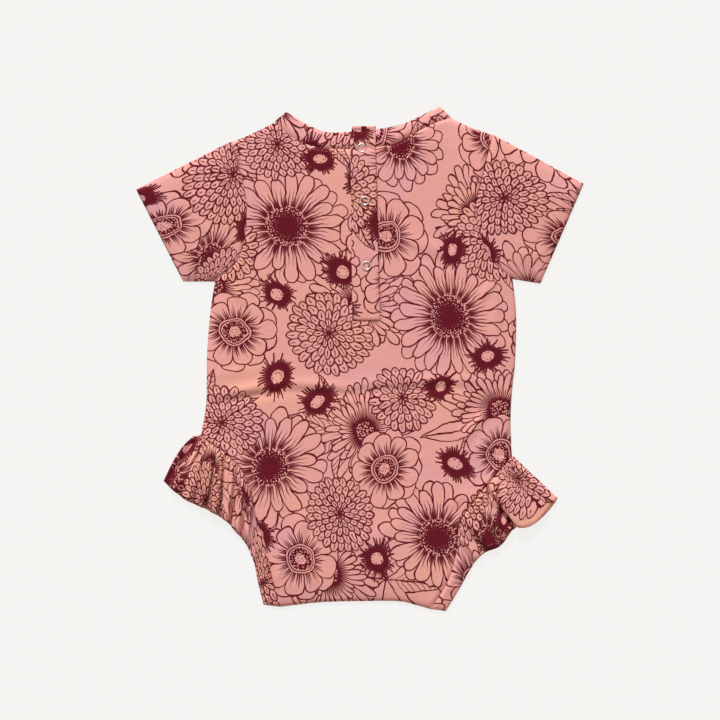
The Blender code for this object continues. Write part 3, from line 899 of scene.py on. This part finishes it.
class Number:
    """A number that varies over a surface. Python's operators on it add Math nodes."""

    def __init__(self, shading, socket):
        self.shading = shading
        self.socket = socket

    def __rsub__(self, other):
        return self.shading.math("SUBTRACT", other, self)

    def __rtruediv__(self, other):
        return self.shading.math("DIVIDE", other, self)

    def clamped(self):
        return self.shading.math("ADD", self, 0.0, clamp=True)


def math_method(operation):
    def method(number, *others):
        return number.shading.math(operation, number, *others)

    return method


for OPERATION, METHODS in MATH_METHODS.items():
    for METHOD in METHODS.split():
        setattr(Number, METHOD, math_method(OPERATION))


class Shading:
    """A material's nodes."""

    def __init__(self, name):
        self.material = bpy.data.materials.new(name)
        self.material.use_nodes = True
        self.tree = self.material.node_tree
        self.shader = self.tree.nodes["Principled BSDF"]

    def node(self, kind, settings=None, inputs=None):
        made = self.tree.nodes.new(kind)
        for key, value in (settings or {}).items():
            setattr(made, key, value)
        for key, value in (inputs or {}).items():
            self.put(made.inputs[key], value)
        return made

    def put(self, socket, value):
        if isinstance(value, Number):
            value = value.socket
        if isinstance(value, bpy.types.NodeSocket):
            self.tree.links.new(value, socket)
        else:
            socket.default_value = value

    def number(self, node, output=0):
        return Number(self, node.outputs[output])

    def math(self, operation, *values, clamp=False):
        settings = {"operation": operation, "use_clamp": clamp}
        return self.number(self.node("ShaderNodeMath", settings, dict(enumerate(values))))

    def vector_math(self, operation, *values, **named):
        inputs = dict(enumerate(values)) | named
        return self.node("ShaderNodeVectorMath", {"operation": operation}, inputs).outputs[0]

    def parts(self, vector):
        """A vector's three numbers."""
        made = self.node("ShaderNodeSeparateXYZ", inputs={0: vector})
        return [self.number(made, axis) for axis in range(3)]

    def attribute(self, name):
        made = self.node("ShaderNodeAttribute", {"attribute_name": name})
        return self.parts(made.outputs["Vector"])

    def noise(self, vector, pitch, detail=0.0, roughness=0.5):
        """A noise whose patches are about a pitch apart. Its nodes' outputs are Fac and Color."""
        inputs = {"Vector": vector, "Scale": 1 / pitch, "Detail": detail, "Roughness": roughness}
        return self.node("ShaderNodeTexNoise", {"noise_dimensions": "2D"}, inputs)

    def chance(self, number):
        """A random number for each whole number."""
        made = self.node("ShaderNodeTexWhiteNoise", {"noise_dimensions": "1D"}, {"W": number})
        return self.number(made, "Value")

    def mixed(self, factor, first, second):
        """A colour between two others."""
        made = self.node("ShaderNodeMix", {"data_type": "RGBA"}, {0: factor, 6: first, 7: second})
        return made.outputs[2]

    def bump(self, rise, distance, strength=1.0):
        inputs = {"Height": rise, "Distance": distance, "Strength": strength}
        return self.node("ShaderNodeBump", inputs=inputs).outputs[0]

    def finish(self, **inputs):
        for key, value in inputs.items():
            self.put(self.shader.inputs[key.replace("_", " ")], value)
        return self.material


Drawn = namedtuple("Drawn", "ink cover")
Place = namedtuple("Place", "off angle radius petals seed")


class Print(Shading):
    """The drawn flowers, layer over layer, in the flat cut's own coordinates."""

    def __init__(self, name):
        super().__init__(name)
        cut = self.node("ShaderNodeUVMap", {"uv_map": "cut"}).outputs[0]
        self.cut = self.vector_math("SCALE", cut, Scale=UV_UNIT)
        waver = self.noise(self.cut, 16.0, 2.0, 0.45)
        centred = self.vector_math("SUBTRACT", waver.outputs["Color"], (0.5, 0.5, 0.5))
        wobble = self.vector_math("SCALE", centred, Scale=2 * WOBBLE)
        self.drawn_at = self.vector_math("ADD", self.cut, wobble)
        self.pen = self.number(waver) * PEN_SWELL * 2 + (PEN - PEN_SWELL)
        dots = {"voronoi_dimensions": "2D"}
        self.grain = self.number(
            self.node("ShaderNodeTexVoronoi", dots, {"Vector": self.cut, "Scale": 1 / GRAIN}), "Distance"
        )

    def stroke(self, distance):
        """Ink where a distance in millimetres is less than half the pen's width."""
        return ((self.pen - abs(distance)) * PEN_EDGE + 0.5).clamped()

    def tips(self, side, across, out, reach, tip):
        """The drawn edge of petals that end where the square of side and a power of out add up to 1."""
        past = side * side + out**tip - 1
        slope = 2 * side / across
        steep = tip * out ** (tip - 1) / reach
        return self.stroke(past / (slope * slope + steep * steep + 1e-4).root()), past < 0.0

    def place(self, layer):
        """Where a point lies in its motif, at what share of a full turn, and the motif's form."""
        x, y, radius = self.attribute(f"{layer}_at")
        turn, squash, petals = self.attribute(f"{layer}_form")
        middle = self.node("ShaderNodeCombineXYZ", inputs={0: x, 1: y}).outputs[0]
        off = self.vector_math("SUBTRACT", self.drawn_at, middle)
        inputs = {"Vector": off, "Angle": turn}
        turned = self.node("ShaderNodeVectorRotate", {"rotation_type": "Z_AXIS"}, inputs)
        u, v, _ = self.parts(turned.outputs[0])
        v = v / squash
        angle = self.math("ARCTAN2", v, u) / (2 * math.pi)
        return Place((u * u + v * v).root(), angle, radius, petals, x + y)

    def cell(self, place, count, phase, seed):
        """How far a point is off the middle of its cell of a ring, in cells, and the cell's chance."""
        at = place.angle * count + phase
        index = at.floor()
        chance = self.chance(self.math("FLOORED_MODULO", index, count) + place.seed + seed)
        return at - index - 0.5, chance

    def petals(self, place, inner, outer, phase, tip, uneven, veins):
        """One ring of petals that touch at their roots and part towards round tips.

        Each vein has its place across half a petal and the share of it that the vein runs along."""
        off, chance = self.cell(place, place.petals, phase, phase)
        side = abs(off) * 2
        reach = outer * (1 - uneven * chance) - inner
        out = ((place.off - inner) / reach).most(0.0).least(MOST_OUT)
        across = place.off * (math.pi / place.petals)
        ink, cover = self.tips(side, across, out, reach, tip)
        for share, run in veins:
            end = out / (run + 0.3 * chance)
            ink = ink.most(self.stroke(abs((side - share) * across) + VEIN_TAPER * end * end) * cover)
        return Drawn(ink, cover)

    def over(self, lower, upper_one):
        """One drawing on top of another."""
        ink = (lower.ink * (1 - upper_one.cover)).most(upper_one.ink)
        return Drawn(ink, lower.cover.most(upper_one.cover))

    def spray(self, place):
        """A star of narrow leaves with a midrib and side veins."""
        off, chance = self.cell(place, place.petals, 0.0, 0.0)
        out = (place.off / (place.radius * (1 - 0.3 * chance))).least(1.2)
        aside = off * place.off * (2 * math.pi / place.petals)
        swell = (out**0.8 * math.pi).sine() * place.radius * 0.125
        edge = abs(aside) - swell
        cover = (edge < 0.0) * (out < 1.0)
        rib = self.stroke(aside) * (out < 0.93)
        slant = (out * 9 - abs(aside) * 0.28).fraction() - 0.5
        vein = self.stroke(slant * place.radius * 0.11) * (chance > 0.45)
        ink = self.stroke(edge) * (out < 1.02)
        return Drawn(ink.most(rib.most(vein) * cover), cover)

    def flower(self, place, eye, rings, spikes, prick):
        """Two rings of petals and the cover of a disc with a prickly rim, with the depth of a point in it.

        Each ring has its reach, the power that rounds its tips, how uneven it is, and its veins."""
        inner = place.radius * eye
        drawn = [
            self.petals(place, inner, place.radius * reach, phase, *form)
            for phase, (reach, *form) in zip((0.5, 0.0), rings)
        ]
        rim = abs((place.angle * spikes).fraction() - 0.5) * 2
        disc = place.off < inner * (1 - prick + 2 * prick * rim)
        return self.over(*drawn), disc, place.off / inner, inner

    def aster(self, place):
        """Many thin petals round a small dark disc."""
        rings = ((1.0, 7.0, 0.3, ((0.0, 0.7),)), (0.82, 6.0, 0.4, ((0.0, 0.4),)))
        petals, disc, depth, _ = self.flower(place, 0.24, rings, 41.0, 0.12)
        light = (self.grain < 0.3) * (depth < 0.7)
        return self.over(petals, Drawn(disc * (1 - light), disc))

    def daisy(self, place):
        """Long petals round a dotted disc."""
        rings = ((1.0, 5.0, 0.14, ((0.35, 0.7),)), (0.93, 4.0, 0.24, ((0.36, 0.6), (0.72, 0.3))))
        petals, disc, depth, _ = self.flower(place, 0.31, rings, 67.0, 0.07)
        light = self.grain < 0.50 * depth * depth - 0.06
        return self.over(petals, Drawn(disc * (1 - light), disc))

    def cosmos(self, place):
        """Broad petals round an eye of rings and dots."""
        back_veins, front_veins = ((0.55, 0.5), (0.25, 0.4)), ((0.66, 0.35), (0.44, 0.6), (0.22, 0.4))
        rings = ((1.0, 6.0, 0.1, back_veins), (0.9, 5.0, 0.16, front_veins))
        petals, disc, depth, inner = self.flower(place, 0.36, rings, 83.0, 0.05)
        dark = (depth > 0.34) * (depth < 0.70)
        rim = depth > 0.93
        ring = self.stroke((depth - 0.80) * inner)
        seeds = (self.grain < 0.22) * (depth < 0.30)
        flecks = (self.grain > 0.20 + 0.5 * abs(depth - 0.52)) * dark
        ink = flecks.most(rim).most(ring).most(seeds)
        return self.over(petals, Drawn(ink * disc, disc))

    def rosette(self, place):
        """Rows of small pointed petals of uneven length, each row behind the one inside it."""
        pitch = place.radius / place.petals
        ring = place.off / pitch
        row = ring.floor()
        rise = ring - row
        # How many petals a row has, its turn and its seed, for this row and for the next one out.
        near, beyond = [((at * 4.9 + 7.5).floor(), at * 0.37, at * 60) for at in (row, row + 1)]
        off, chance = self.cell(place, *near)
        side = abs(off) * 2
        across = place.off * (math.pi / near[0])
        length = 0.93 - 0.33 * chance
        tips, inside = self.tips(side, across, rise / length, length * pitch, 1.6)
        off, _ = self.cell(place, *beyond)
        sides = self.stroke((1 - abs(off) * 2) * place.off * (math.pi / beyond[0])) * (1 - inside)
        full = ring < place.petals - 1
        cover = full.most((ring < place.petals) * inside)
        fold = self.stroke(side * across + VEIN_TAPER * (0.6 + chance) * rise)
        ink = tips.most(sides * full).most(fold * inside) * (ring < place.petals)
        return Drawn(ink, cover)

    def burst(self, place):
        """A small seed head: dark bristles of uneven length round a pale oval."""
        inner = place.radius * 0.3
        off, chance = self.cell(place, place.petals, 0.0, 0.0)
        out = (place.off - inner) / (place.radius * (0.55 + 0.45 * chance) - inner)
        aside = off * place.off * (2 * math.pi / place.petals)
        bristle = ((1.08 - 0.40 * out - abs(aside)) * PEN_EDGE + 0.5).clamped() * (out > 0.0) * (out < 1.0)
        core = (place.off < inner) * (self.grain < 0.25) * (place.off > inner * 0.45)
        rim = self.stroke(place.off - inner)
        return Drawn(bristle.most(core).most(rim), place.off < place.radius * 0.62)


def printed_jersey():
    """Cotton jersey with a drawn flower print in one dark ink, on a ground of shifting salmon tints."""
    cloth_print = Print("printed_jersey")
    drawing = None
    for layer in LAYERS:
        motif = getattr(cloth_print, layer)(cloth_print.place(layer))
        drawing = motif if drawing is None else cloth_print.over(drawing, motif)
    cut = cloth_print.cut
    warm = cloth_print.number(cloth_print.noise(cut, 62.0, 1.0))
    elsewhere = cloth_print.vector_math("ADD", cut, (310.0, 170.0, 0.0))
    cool = cloth_print.number(cloth_print.noise(elsewhere, 48.0, 1.0))
    ground = cloth_print.mixed(((warm - 0.5) * 4).clamped(), GROUND, GROUND_PEACH)
    ground = cloth_print.mixed(((cool - 0.54) * 4).clamped(), ground, GROUND_LILAC)
    fleck = cloth_print.number(cloth_print.noise(cut, 0.8, 2.0, 0.7))
    colour = cloth_print.mixed(drawing.ink * (0.95 + fleck * 0.10).clamped(), ground, INK)
    x, y, _ = cloth_print.parts(cut)
    ribs = (x * (2 * math.pi / KNIT)).sine() * (0.6 + 0.4 * (y * (2 * math.pi / (KNIT * 1.2))).sine())
    nap = cloth_print.number(cloth_print.noise(cut, 5.0, 3.0, 0.6))
    relief = ribs * 0.02 + fleck * 0.05 + nap * 0.35
    return cloth_print.finish(
        Base_Color=colour,
        Roughness=0.86 + fleck * 0.1,
        Sheen_Weight=0.05,
        Sheen_Roughness=0.5,
        Specular_IOR_Level=0.12,
        Normal=cloth_print.bump(relief, MM, 0.7),
    )


def sewing_thread():
    """Spun thread, a little paler than the cloth, with a twist."""
    shading = Shading("sewing_thread")
    where = shading.node("ShaderNodeTexCoord").outputs["Object"]
    x, y, _ = shading.parts(where)
    twist = ((x + y) * (2 * math.pi / (0.5 * MM))).sine() * 0.5 + 0.5
    colour = shading.mixed(twist * 0.35, THREAD, (0.56, 0.21, 0.19, 1.0))
    return shading.finish(
        Base_Color=colour, Roughness=0.7 + twist * 0.1, Normal=shading.bump(twist, 0.06 * MM, 0.6)
    )


def snap_metal(name):
    """White metal with a fine tumbled grain."""
    shading = Shading(name)
    where = shading.node("ShaderNodeTexCoord").outputs["Object"]
    grain = shading.node("ShaderNodeTexNoise", inputs={"Vector": where, "Scale": 2600.0, "Detail": 3.0})
    rub = shading.node("ShaderNodeTexNoise", inputs={"Vector": where, "Scale": 420.0, "Detail": 2.0})
    worn = shading.number(rub)
    colour = shading.mixed(worn, METAL, (0.66, 0.64, 0.60, 1.0))
    return shading.finish(
        Base_Color=colour,
        Metallic=0.75,
        Roughness=0.30 + worn * 0.2,
        Normal=shading.bump(shading.number(grain), 0.04 * MM, 0.5),
    )


def panel_points(neck, thin=1):
    """Points of a panel, row by row from the crotch up."""
    left, right = side_edge("left", thin), side_edge("right", thin)
    columns = len(top_edge(neck, thin)) - 1
    share = np.linspace(0, 1, columns + 1)[None, :, None]
    grid = left[:, None] * (1 - share) + right[:, None] * share
    row = np.arange(len(left))
    leg, arm = LEG_ROWS // thin, ARM_ROWS // thin
    near_crotch = np.clip(1 - row / leg, 0, 1)[:, None, None]
    near_neck = np.clip((row - (len(left) - 1 - arm)) / arm, 0, 1)[:, None, None]
    grid = grid + near_crotch * (evenly(points_of(CROTCH), columns) - grid[0])
    return grid + near_neck * (top_edge(neck, thin) - grid[-1])


def leg_puckers(points, side):
    """Small gathers that run a little way into the panel from a leg seam."""
    seam = leg_seam(side)
    edge = LEG_EDGES[side]
    off = off_line(points, seam)
    rise = np.zeros(points.shape[:-1])
    for pucker in PUCKERS:
        share = np.interp(pucker.at, np.linspace(0, 1, len(edge)), [row.at for row in edge])
        near = np.linalg.norm(points - on_line(seam, np.array(share)), axis=-1)
        rise += pucker.rise * bell(near, PANEL_PUCKER) * (off > PANEL_PUCKER_OFF)
    return rise


def back_body(surface):
    """The back panel, whose middle column is doubled and parted for the slit."""
    grid = panel_points(NECK_BACK)
    middle = grid.shape[1] // 2
    opening = np.minimum(SLIT / 2, SLIT_SHARE * (grid[:, middle + 1, 0] - grid[:, middle, 0]))
    grid = np.insert(grid, middle, grid[:, middle], axis=1)
    grid[:, middle, 0] -= opening
    grid[:, middle + 1, 0] += opening
    lifted = upper(grid)
    for side in SIDES:
        lifted[..., 2] += leg_puckers(grid, side)
    slit = {(row, middle) for row in range(SLIT_FIRST_ROW, len(grid) - 1)}
    made = cloth("back_panel", lifted, cut_from("back", grid), surface, slit=slit)
    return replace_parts(made, "back_body")


def front_body(surface):
    """The front panel, flat on the surface."""
    grid = panel_points(NECK_FRONT, FRONT_STEP)
    made = cloth("front_panel", laid(grid, LOW), cut_from("front", grid), surface)
    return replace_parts(made, "front_body")


def neckband(surface):
    """One strip from the slit's left edge round the neck to its right edge, folded at both shoulders."""
    back_seam = evenly(points_of(NECK_BACK), NECK_COLUMNS)
    front_seam = evenly(points_of(NECK_FRONT), NECK_COLUMNS)

    def layer(edges, seam, first, last, tuck=SEAM_TUCK):
        share = np.linspace(first, last, round(abs(last - first) * 2 * NECK_COLUMNS) + 1)
        edge = along(points_of(edges), np.interp(share, [row.at for row in edges], range(len(edges))))
        rows, out = across(on_line(seam, share), edge, BAND_PARTS, tuck)
        if not tuck:
            return laid(rows, LOW)
        raised = upper(rows)
        raised[..., 2] += BAND_CROWN * arch(out)
        return tucked(raised)

    layers = (
        layer(BAND_BACK, back_seam, BAND_LEFT_END, 0),
        layer(BAND_FRONT, front_seam, 0, 1, tuck=0),
        layer(BAND_BACK, back_seam, 1, BAND_RIGHT_END),
    )
    grid = folded(*layers)
    made = cloth("neck_binding", grid, cut_from("neckband", unrolled(grid)), surface)
    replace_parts(made, "neckband")
    return made


def strip_ends(name, y):
    """The left and right ends of one of the slit's strips, at heights up the garment."""
    level = [row.y for row in reversed(PLACKET)]
    ends = [[getattr(row, f"{name}_{side}") for row in reversed(PLACKET)] for side in SIDES]
    return [np.interp(y, level, end) for end in ends]


def strip_top(points):
    """The upper strip's middle surface: its edges round down, and the cloth is pressed down round each ring.

    Its loose right edge stands up, most half way down and not at the ends."""
    x, y = points[..., 0], points[..., 1]
    left, right = strip_ends("over", y)
    high, low = PLACKET[0].y, PLACKET[-1].y
    top = upper(points, OVER)
    top[..., 2] += EDGE_LIFT * ((x - left) / (right - left)) ** 3 * arch((high - y) / (high - low))
    for off in (x - left, x - right, y - high, y - low):
        top[..., 2] -= PLACKET_EDGE * bell(off, PLACKET_EDGE_WIDTH)
    for snap in SNAPS:
        off = np.hypot(x - snap.x, y - snap.y)
        top[..., 2] -= SNAP_DIMPLE * bell(off - SNAP_OUTER / 2, SNAP_DIMPLE_WIDTH)
    return top


def placket(surface):
    """The two strips of the slit: one on the panel, the other under it."""
    share = np.linspace(0, 1, PLACKET_COLUMNS + 1)
    made = []
    for name, top in (("over", PLACKET[0].y), ("under", UNDER_TOP)):
        y = np.linspace(top, PLACKET[-1].y, PLACKET_ROWS + 1)[:, None]
        left, right = strip_ends(name, y)
        flat = paired(left + (right - left) * share, y)
        grid = strip_top(flat) if name == "over" else upper(flat, -OVER)
        strip = cloth(f"placket_strip_{name}", grid, cut_from(f"placket_{name}", flat), surface)
        made.append(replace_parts(strip, f"placket_{name}"))
    return made


def snap_rings(surface):
    """Open rings whose wire is pressed flat, sunk a little into the strip."""
    made = []
    for number, snap in enumerate(SNAPS, 1):
        z = strip_top(np.array([snap]))[0, 2] + SNAP_DIMPLE / 2 + (WALL + SNAP_WIRE) / 2 - SNAP_SINK
        bm = bmesh.new()
        bmesh.ops.create_circle(bm, segments=20, radius=SNAP_WIRE / 2 * MM)
        bmesh.ops.rotate(bm, verts=bm.verts, matrix=Matrix.Rotation(math.pi / 2, 3, "X"))
        bmesh.ops.scale(bm, verts=bm.verts, vec=(1, 1, SNAP_FLATNESS))
        bmesh.ops.translate(bm, verts=bm.verts, vec=((SNAP_OUTER - SNAP_WIRE) / 2 * MM, 0, 0))
        bmesh.ops.spin(
            bm, geom=bm.verts[:] + bm.edges[:], cent=(0, 0, 0), axis=(0, 0, 1), angle=2 * math.pi,
            steps=72, use_merge=True,
        )
        bmesh.ops.translate(bm, verts=bm.verts, vec=Vector((*(np.array(snap) + SHIFT[:2]), z)) * MM)
        bmesh.ops.recalc_face_normals(bm, faces=bm.faces)
        ring = add_object(f"ring_snap_{number}", bm, surface)
        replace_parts(ring, f"snap_ring_{number}")
        made.append(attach(ring, "root"))
    return made


def sleeve(side, surface):
    """A tube pressed flat: its upper layer, the underarm fold, its lower layer and the shoulder fold."""
    seam = armhole(side)[::-1]
    share = np.linspace(0, 1, len(seam))[:, None]
    top, low = np.reshape(CUFFS[side], (2, 2))
    hem = top * (1 - share) + low * share
    rows, out = across(seam, hem, SLEEVE_PARTS)
    over, under = tucked(upper(rows)), laid(across(seam, hem, SLEEVE_PARTS, 0)[0], LOW)[::-1]
    width = np.linalg.norm(hem - seam, axis=1)[:, None]
    from_cuff = (1 - out) * width
    doubled = HEM_RISE / (1 + np.exp((from_cuff - CUFF_HEM) / HEM_STEP))
    groove = HEM_GROOVE * bell(from_cuff - CUFF_HEM, HEM_GROOVE_WIDTH)
    edge = CUFF_ROUND * bell(from_cuff, CUFF_ROUND_WIDTH)
    over[..., 2] += (doubled - groove - edge) * np.sin(math.pi * share) ** HEM_FADE
    grid = folded(over, under)
    shoulder_fold = half_turn(under[-2], under[-1], over[0])
    grid = np.concatenate([grid, shoulder_fold, over[:1]])
    girth = walked(grid[:, SLEEVE_PARTS // 2])
    flat = paired(girth[:, None], np.linspace(0, float(width.mean()), SLEEVE_PARTS + 1))
    made = cloth(f"sleeve_tube_{side}", grid, cut_from(f"sleeve_{side}", flat), surface, closed=True)
    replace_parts(made, f"sleeve_{side}")
    return made, over, from_cuff


def leg_layer(side, stations, tuck=SEAM_TUCK):
    """Rows of a leg strip from the side fold to the crotch.

    It also gives each point's share of the way across from the seam and down from the side fold."""
    edges = LEG_EDGES[side]
    at = even_rows(points_of(edges), stations)
    seam = on_line(leg_seam(side), np.interp(at, range(len(edges)), [row.at for row in edges]))
    rows, share = across(seam, along(points_of(edges), at), LEG_PARTS, tuck)
    down = np.linspace(0, 1, len(at))[:, None]
    outward = (rows[0] - rows[1]).sum(axis=0)
    outward /= np.linalg.norm(outward)
    share = np.clip(share, 0, 1)
    swell = arch(share**FOLD_BULGE_SKEW) * np.clip(1 - down / FOLD_BULGE_REACH, 0, 1) ** 2
    return rows + FOLD_BULGE[side] * swell[..., None] * outward, share, down


def ungathered(rows):
    """How far along the cut cloth each row lies from the side to the crotch."""
    steps = np.diff(walked(rows[:, LEG_PARTS * 2 // 3])) * np.linspace(GATHER, GATHER_END, len(rows) - 1)
    return np.concatenate([[0], np.cumsum(steps)])


def gathers(side, share, down):
    """How far the folds of a leg strip rise, and how far they lean towards the crotch."""
    rise = np.zeros_like(share)
    lean = np.zeros_like(share)
    for wave in WAVES[side]:
        off = np.clip((down - wave.at - wave.slant * (1 - share)) / wave.reach, -1, 1)
        swing = ((1 + np.cos(math.pi * off)) / 2) ** WAVE_SHARPNESS
        rise += wave.rise * swing * share**RISE_POWER
        lean += wave.lean * swing * share**LEAN_POWER
    for pucker in PUCKERS:
        swell = arch(share / min(pucker.run * PUCKER_RUN[side], 1)) ** PUCKER_ROUND
        rise += pucker.rise * PUCKER_RISE[side] * bell(down - pucker.at, pucker.reach) * swell
    return rise, lean


def leg_ruffle(side, surface):
    """One gathered strip round a leg opening, folded at the side: its back half lies on its front half."""
    back, share, down = leg_layer(side, LEG_STATIONS)
    forward = np.gradient(back[:, -1], axis=0)
    forward = (forward / np.linalg.norm(forward, axis=1)[:, None])[:, None]
    rise, lean = gathers(side, share, down)
    over = upper(back + lean[..., None] * forward)
    room = WALL + LAYER_GAP + LEG_UNDER_RISE * np.maximum(over[..., 2] - HIGH, 0)
    over[..., 2] = np.maximum(over[..., 2] + rise, LOW + room)
    over = tucked(over)

    front, share, down = leg_layer(side, LEG_STATIONS // 2, tuck=0)
    narrow = 1 - (1 - LEG_UNDER_SHARE) * np.clip(down / FOLD_BULGE_REACH, 0, 1)
    front = front[:, :1] + (front - front[:, :1]) * narrow[..., None]
    swing = share * (1 - np.cos(2 * math.pi * LEG_UNDER_WAVES * down)) / 2
    under = laid(front, LOW, LEG_UNDER_RISE * np.maximum(height(front), 0) * swing)

    half, other = ungathered(over), ungathered(front)
    other *= half[-1] / other[-1]
    length = np.concatenate([-half[::-1], np.zeros(TURN_STEPS - 1), other])
    widths = [np.array([walked(row) for row in layer]) for layer in (back, front)]
    turn = np.repeat(widths[0][:1], TURN_STEPS - 1, axis=0)
    flat = paired(length[:, None], np.concatenate([widths[0][::-1], turn, widths[1]]))
    made = cloth(f"leg_frill_{side}", folded(over[::-1], under), cut_from(f"leg_{side}", flat), surface)
    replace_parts(made, f"leg_ruffle_{side}")
    return made, over


def on_curve(at, where, line):
    """The point of a line in space that lies at a place, given the place of each of its points."""
    return [np.interp(at, where, line[:, axis]) for axis in range(3)]


def stitches(name, lines, surface):
    """Rows of stitches along lines of points on the cloth's middle surface."""
    bm = bmesh.new()
    for line in lines:
        run = walked(line)
        count = int(run[-1] / STITCH_PITCH)
        for start in (np.arange(count) + 0.5) * run[-1] / count:
            ends = [Vector(on_curve(start + half * STITCH / 2, run, line)) for half in (-1, 1)]
            middle = (ends[0] + ends[1]) / 2 + Vector(SHIFT) + Vector((0, 0, WALL / 2))
            turn = (ends[1] - ends[0]).normalized().to_track_quat("X", "Z").to_matrix().to_4x4()
            size = Matrix.Diagonal((STITCH / 2, STITCH_WIDTH / 2, STITCH_HEIGHT, 1))
            place = Matrix.Translation(middle * MM) @ turn @ size @ Matrix.Scale(MM, 4)
            bmesh.ops.create_icosphere(bm, subdivisions=1, radius=1, matrix=place)
    made = add_object(name, bm, surface)
    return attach(made, "root")


def at_distance(layer, from_edge, distance):
    """The line across a layer's rows that lies a distance from its free edge."""
    return np.array([on_curve(-distance, -far, row) for row, far in zip(layer, from_edge)])


def cuff_stitches(side, layer, from_cuff, surface):
    """Two rows of stitches, one on each side of the hem's edge."""
    rows = [at_distance(layer, from_cuff, CUFF_HEM + off)[CUFF_ENDS:-CUFF_ENDS] for off in TWIN_NEEDLE]
    return stitches(f"cuff_stitches_{side}", rows, surface)


def placket_stitches(surface):
    """A row down the upper strip's left edge and two across its lower end."""
    y = np.linspace(PLACKET[0].y - PLACKET_SEWN[0], PLACKET[-1].y + PLACKET_SEWN[1], 160)
    left, right = strip_ends("over", y)
    low = np.linspace(left[-1] + 2, right[-1] - 2, 16)
    ends = [paired(low, PLACKET[-1].y + up) for up in PLACKET_END_ROWS]
    lines = [paired(left + PLACKET_SEAM, y), *ends]
    return stitches("placket_stitches", [strip_top(line) for line in lines], surface)


def neck_stitches(surface):
    """A row below the neck seam on each side of the placket."""
    neck = evenly(points_of(NECK_BACK), NECK_SEWN) - (0, NECK_SEAM)
    sides = [neck[first:last] for first, last in NECK_RUNS]
    return stitches("neck_stitches", [upper(side) for side in sides], surface)


def floor_and_light():
    """A pale floor, one soft window past the neck and an even sky."""
    bm = bmesh.new()
    bmesh.ops.create_grid(bm, x_segments=1, y_segments=1, size=6)
    shading = Shading("pale_floor")
    grain = shading.node("ShaderNodeTexNoise", inputs={"Scale": 3.0, "Detail": 1.0})
    colour = shading.mixed(shading.number(grain) * 0.02, FLOOR, (0.87, 0.865, 0.85, 1.0))
    shading.finish(Base_Color=colour, Roughness=1.0, Specular_IOR_Level=0.0)
    glow = shading.node("ShaderNodeEmission", inputs={"Color": colour, "Strength": 1.0})
    mix = shading.node("ShaderNodeMixShader", inputs={0: FLOOR_GLOW})
    links = shading.tree.links
    links.new(shading.shader.outputs[0], mix.inputs[1])
    links.new(glow.outputs[0], mix.inputs[2])
    links.new(mix.outputs[0], shading.tree.nodes["Material Output"].inputs["Surface"])
    add_object("floor", bm, shading.material)

    lamp = bpy.data.lights.new("window", "SUN")
    lamp.angle = math.radians(WINDOW_SPREAD)
    tilt, around = math.radians(WINDOW_TILT), math.radians(WINDOW_TURN)
    lamp.energy = WINDOW_SHARE * math.pi / math.cos(tilt)
    lamp.color = [(1 - (1 - WINDOW_SHARE) * part) / WINDOW_SHARE for part in SKY]
    window = bpy.data.objects.new("window", lamp)
    source = Vector((math.sin(around), math.cos(around), 0)) * math.sin(tilt) + Vector((0, 0, math.cos(tilt)))
    window.rotation_mode = "QUATERNION"
    window.rotation_quaternion = source.to_track_quat("Z", "Y")
    bpy.context.scene.collection.objects.link(window)

    world = bpy.data.worlds.new("sky")
    world.use_nodes = True
    sky = world.node_tree.nodes["Background"].inputs
    sky["Color"].default_value = (*SKY, 1.0)
    sky["Strength"].default_value = 1 - WINDOW_SHARE
    bpy.context.scene.world = world


def camera():
    """Straight down, far enough away that the sides stay out of sight, as in the photograph."""
    data = bpy.data.cameras.new("camera")
    data.sensor_width = SENSOR
    data.lens = SENSOR * CAMERA_HEIGHT / VIEW_WIDTH
    data.clip_end = 20
    made = bpy.data.objects.new("camera", data)
    made.location = (SHIFT[0] * MM, (SHIFT[1] - VIEW_DOWN) * MM, CAMERA_HEIGHT * MM)
    bpy.context.scene.collection.objects.link(made)
    bpy.context.scene.camera = made


def main():
    bpy.context.scene.view_settings.view_transform = "Standard"
    camera()
    floor_and_light()
    jersey = printed_jersey()
    thread = sewing_thread()
    metal = snap_metal("ring_metal")

    front = front_body(jersey)
    back = back_body(jersey)
    band = neckband(jersey)
    over, under = placket(jersey)
    rings = snap_rings(metal)
    for name in CROTCH_SNAPS:
        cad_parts[name].material_slots[0].material = metal

    sleeves, sewn, frills, hems = {}, {}, {}, {}
    for name in SIDES:
        sleeves[name], layer, from_cuff = sleeve(name, jersey)
        sewn[name] = cuff_stitches(name, layer, from_cuff, thread)
    for name in SIDES:
        frills[name], layer = leg_ruffle(name, jersey)
        hems[name] = stitches(f"frill_stitches_{name}", [layer[FRILL_START:, FRILL_HEM]], thread)
    strip_sewing = placket_stitches(thread)
    neck_sewing = neck_stitches(thread)


main()
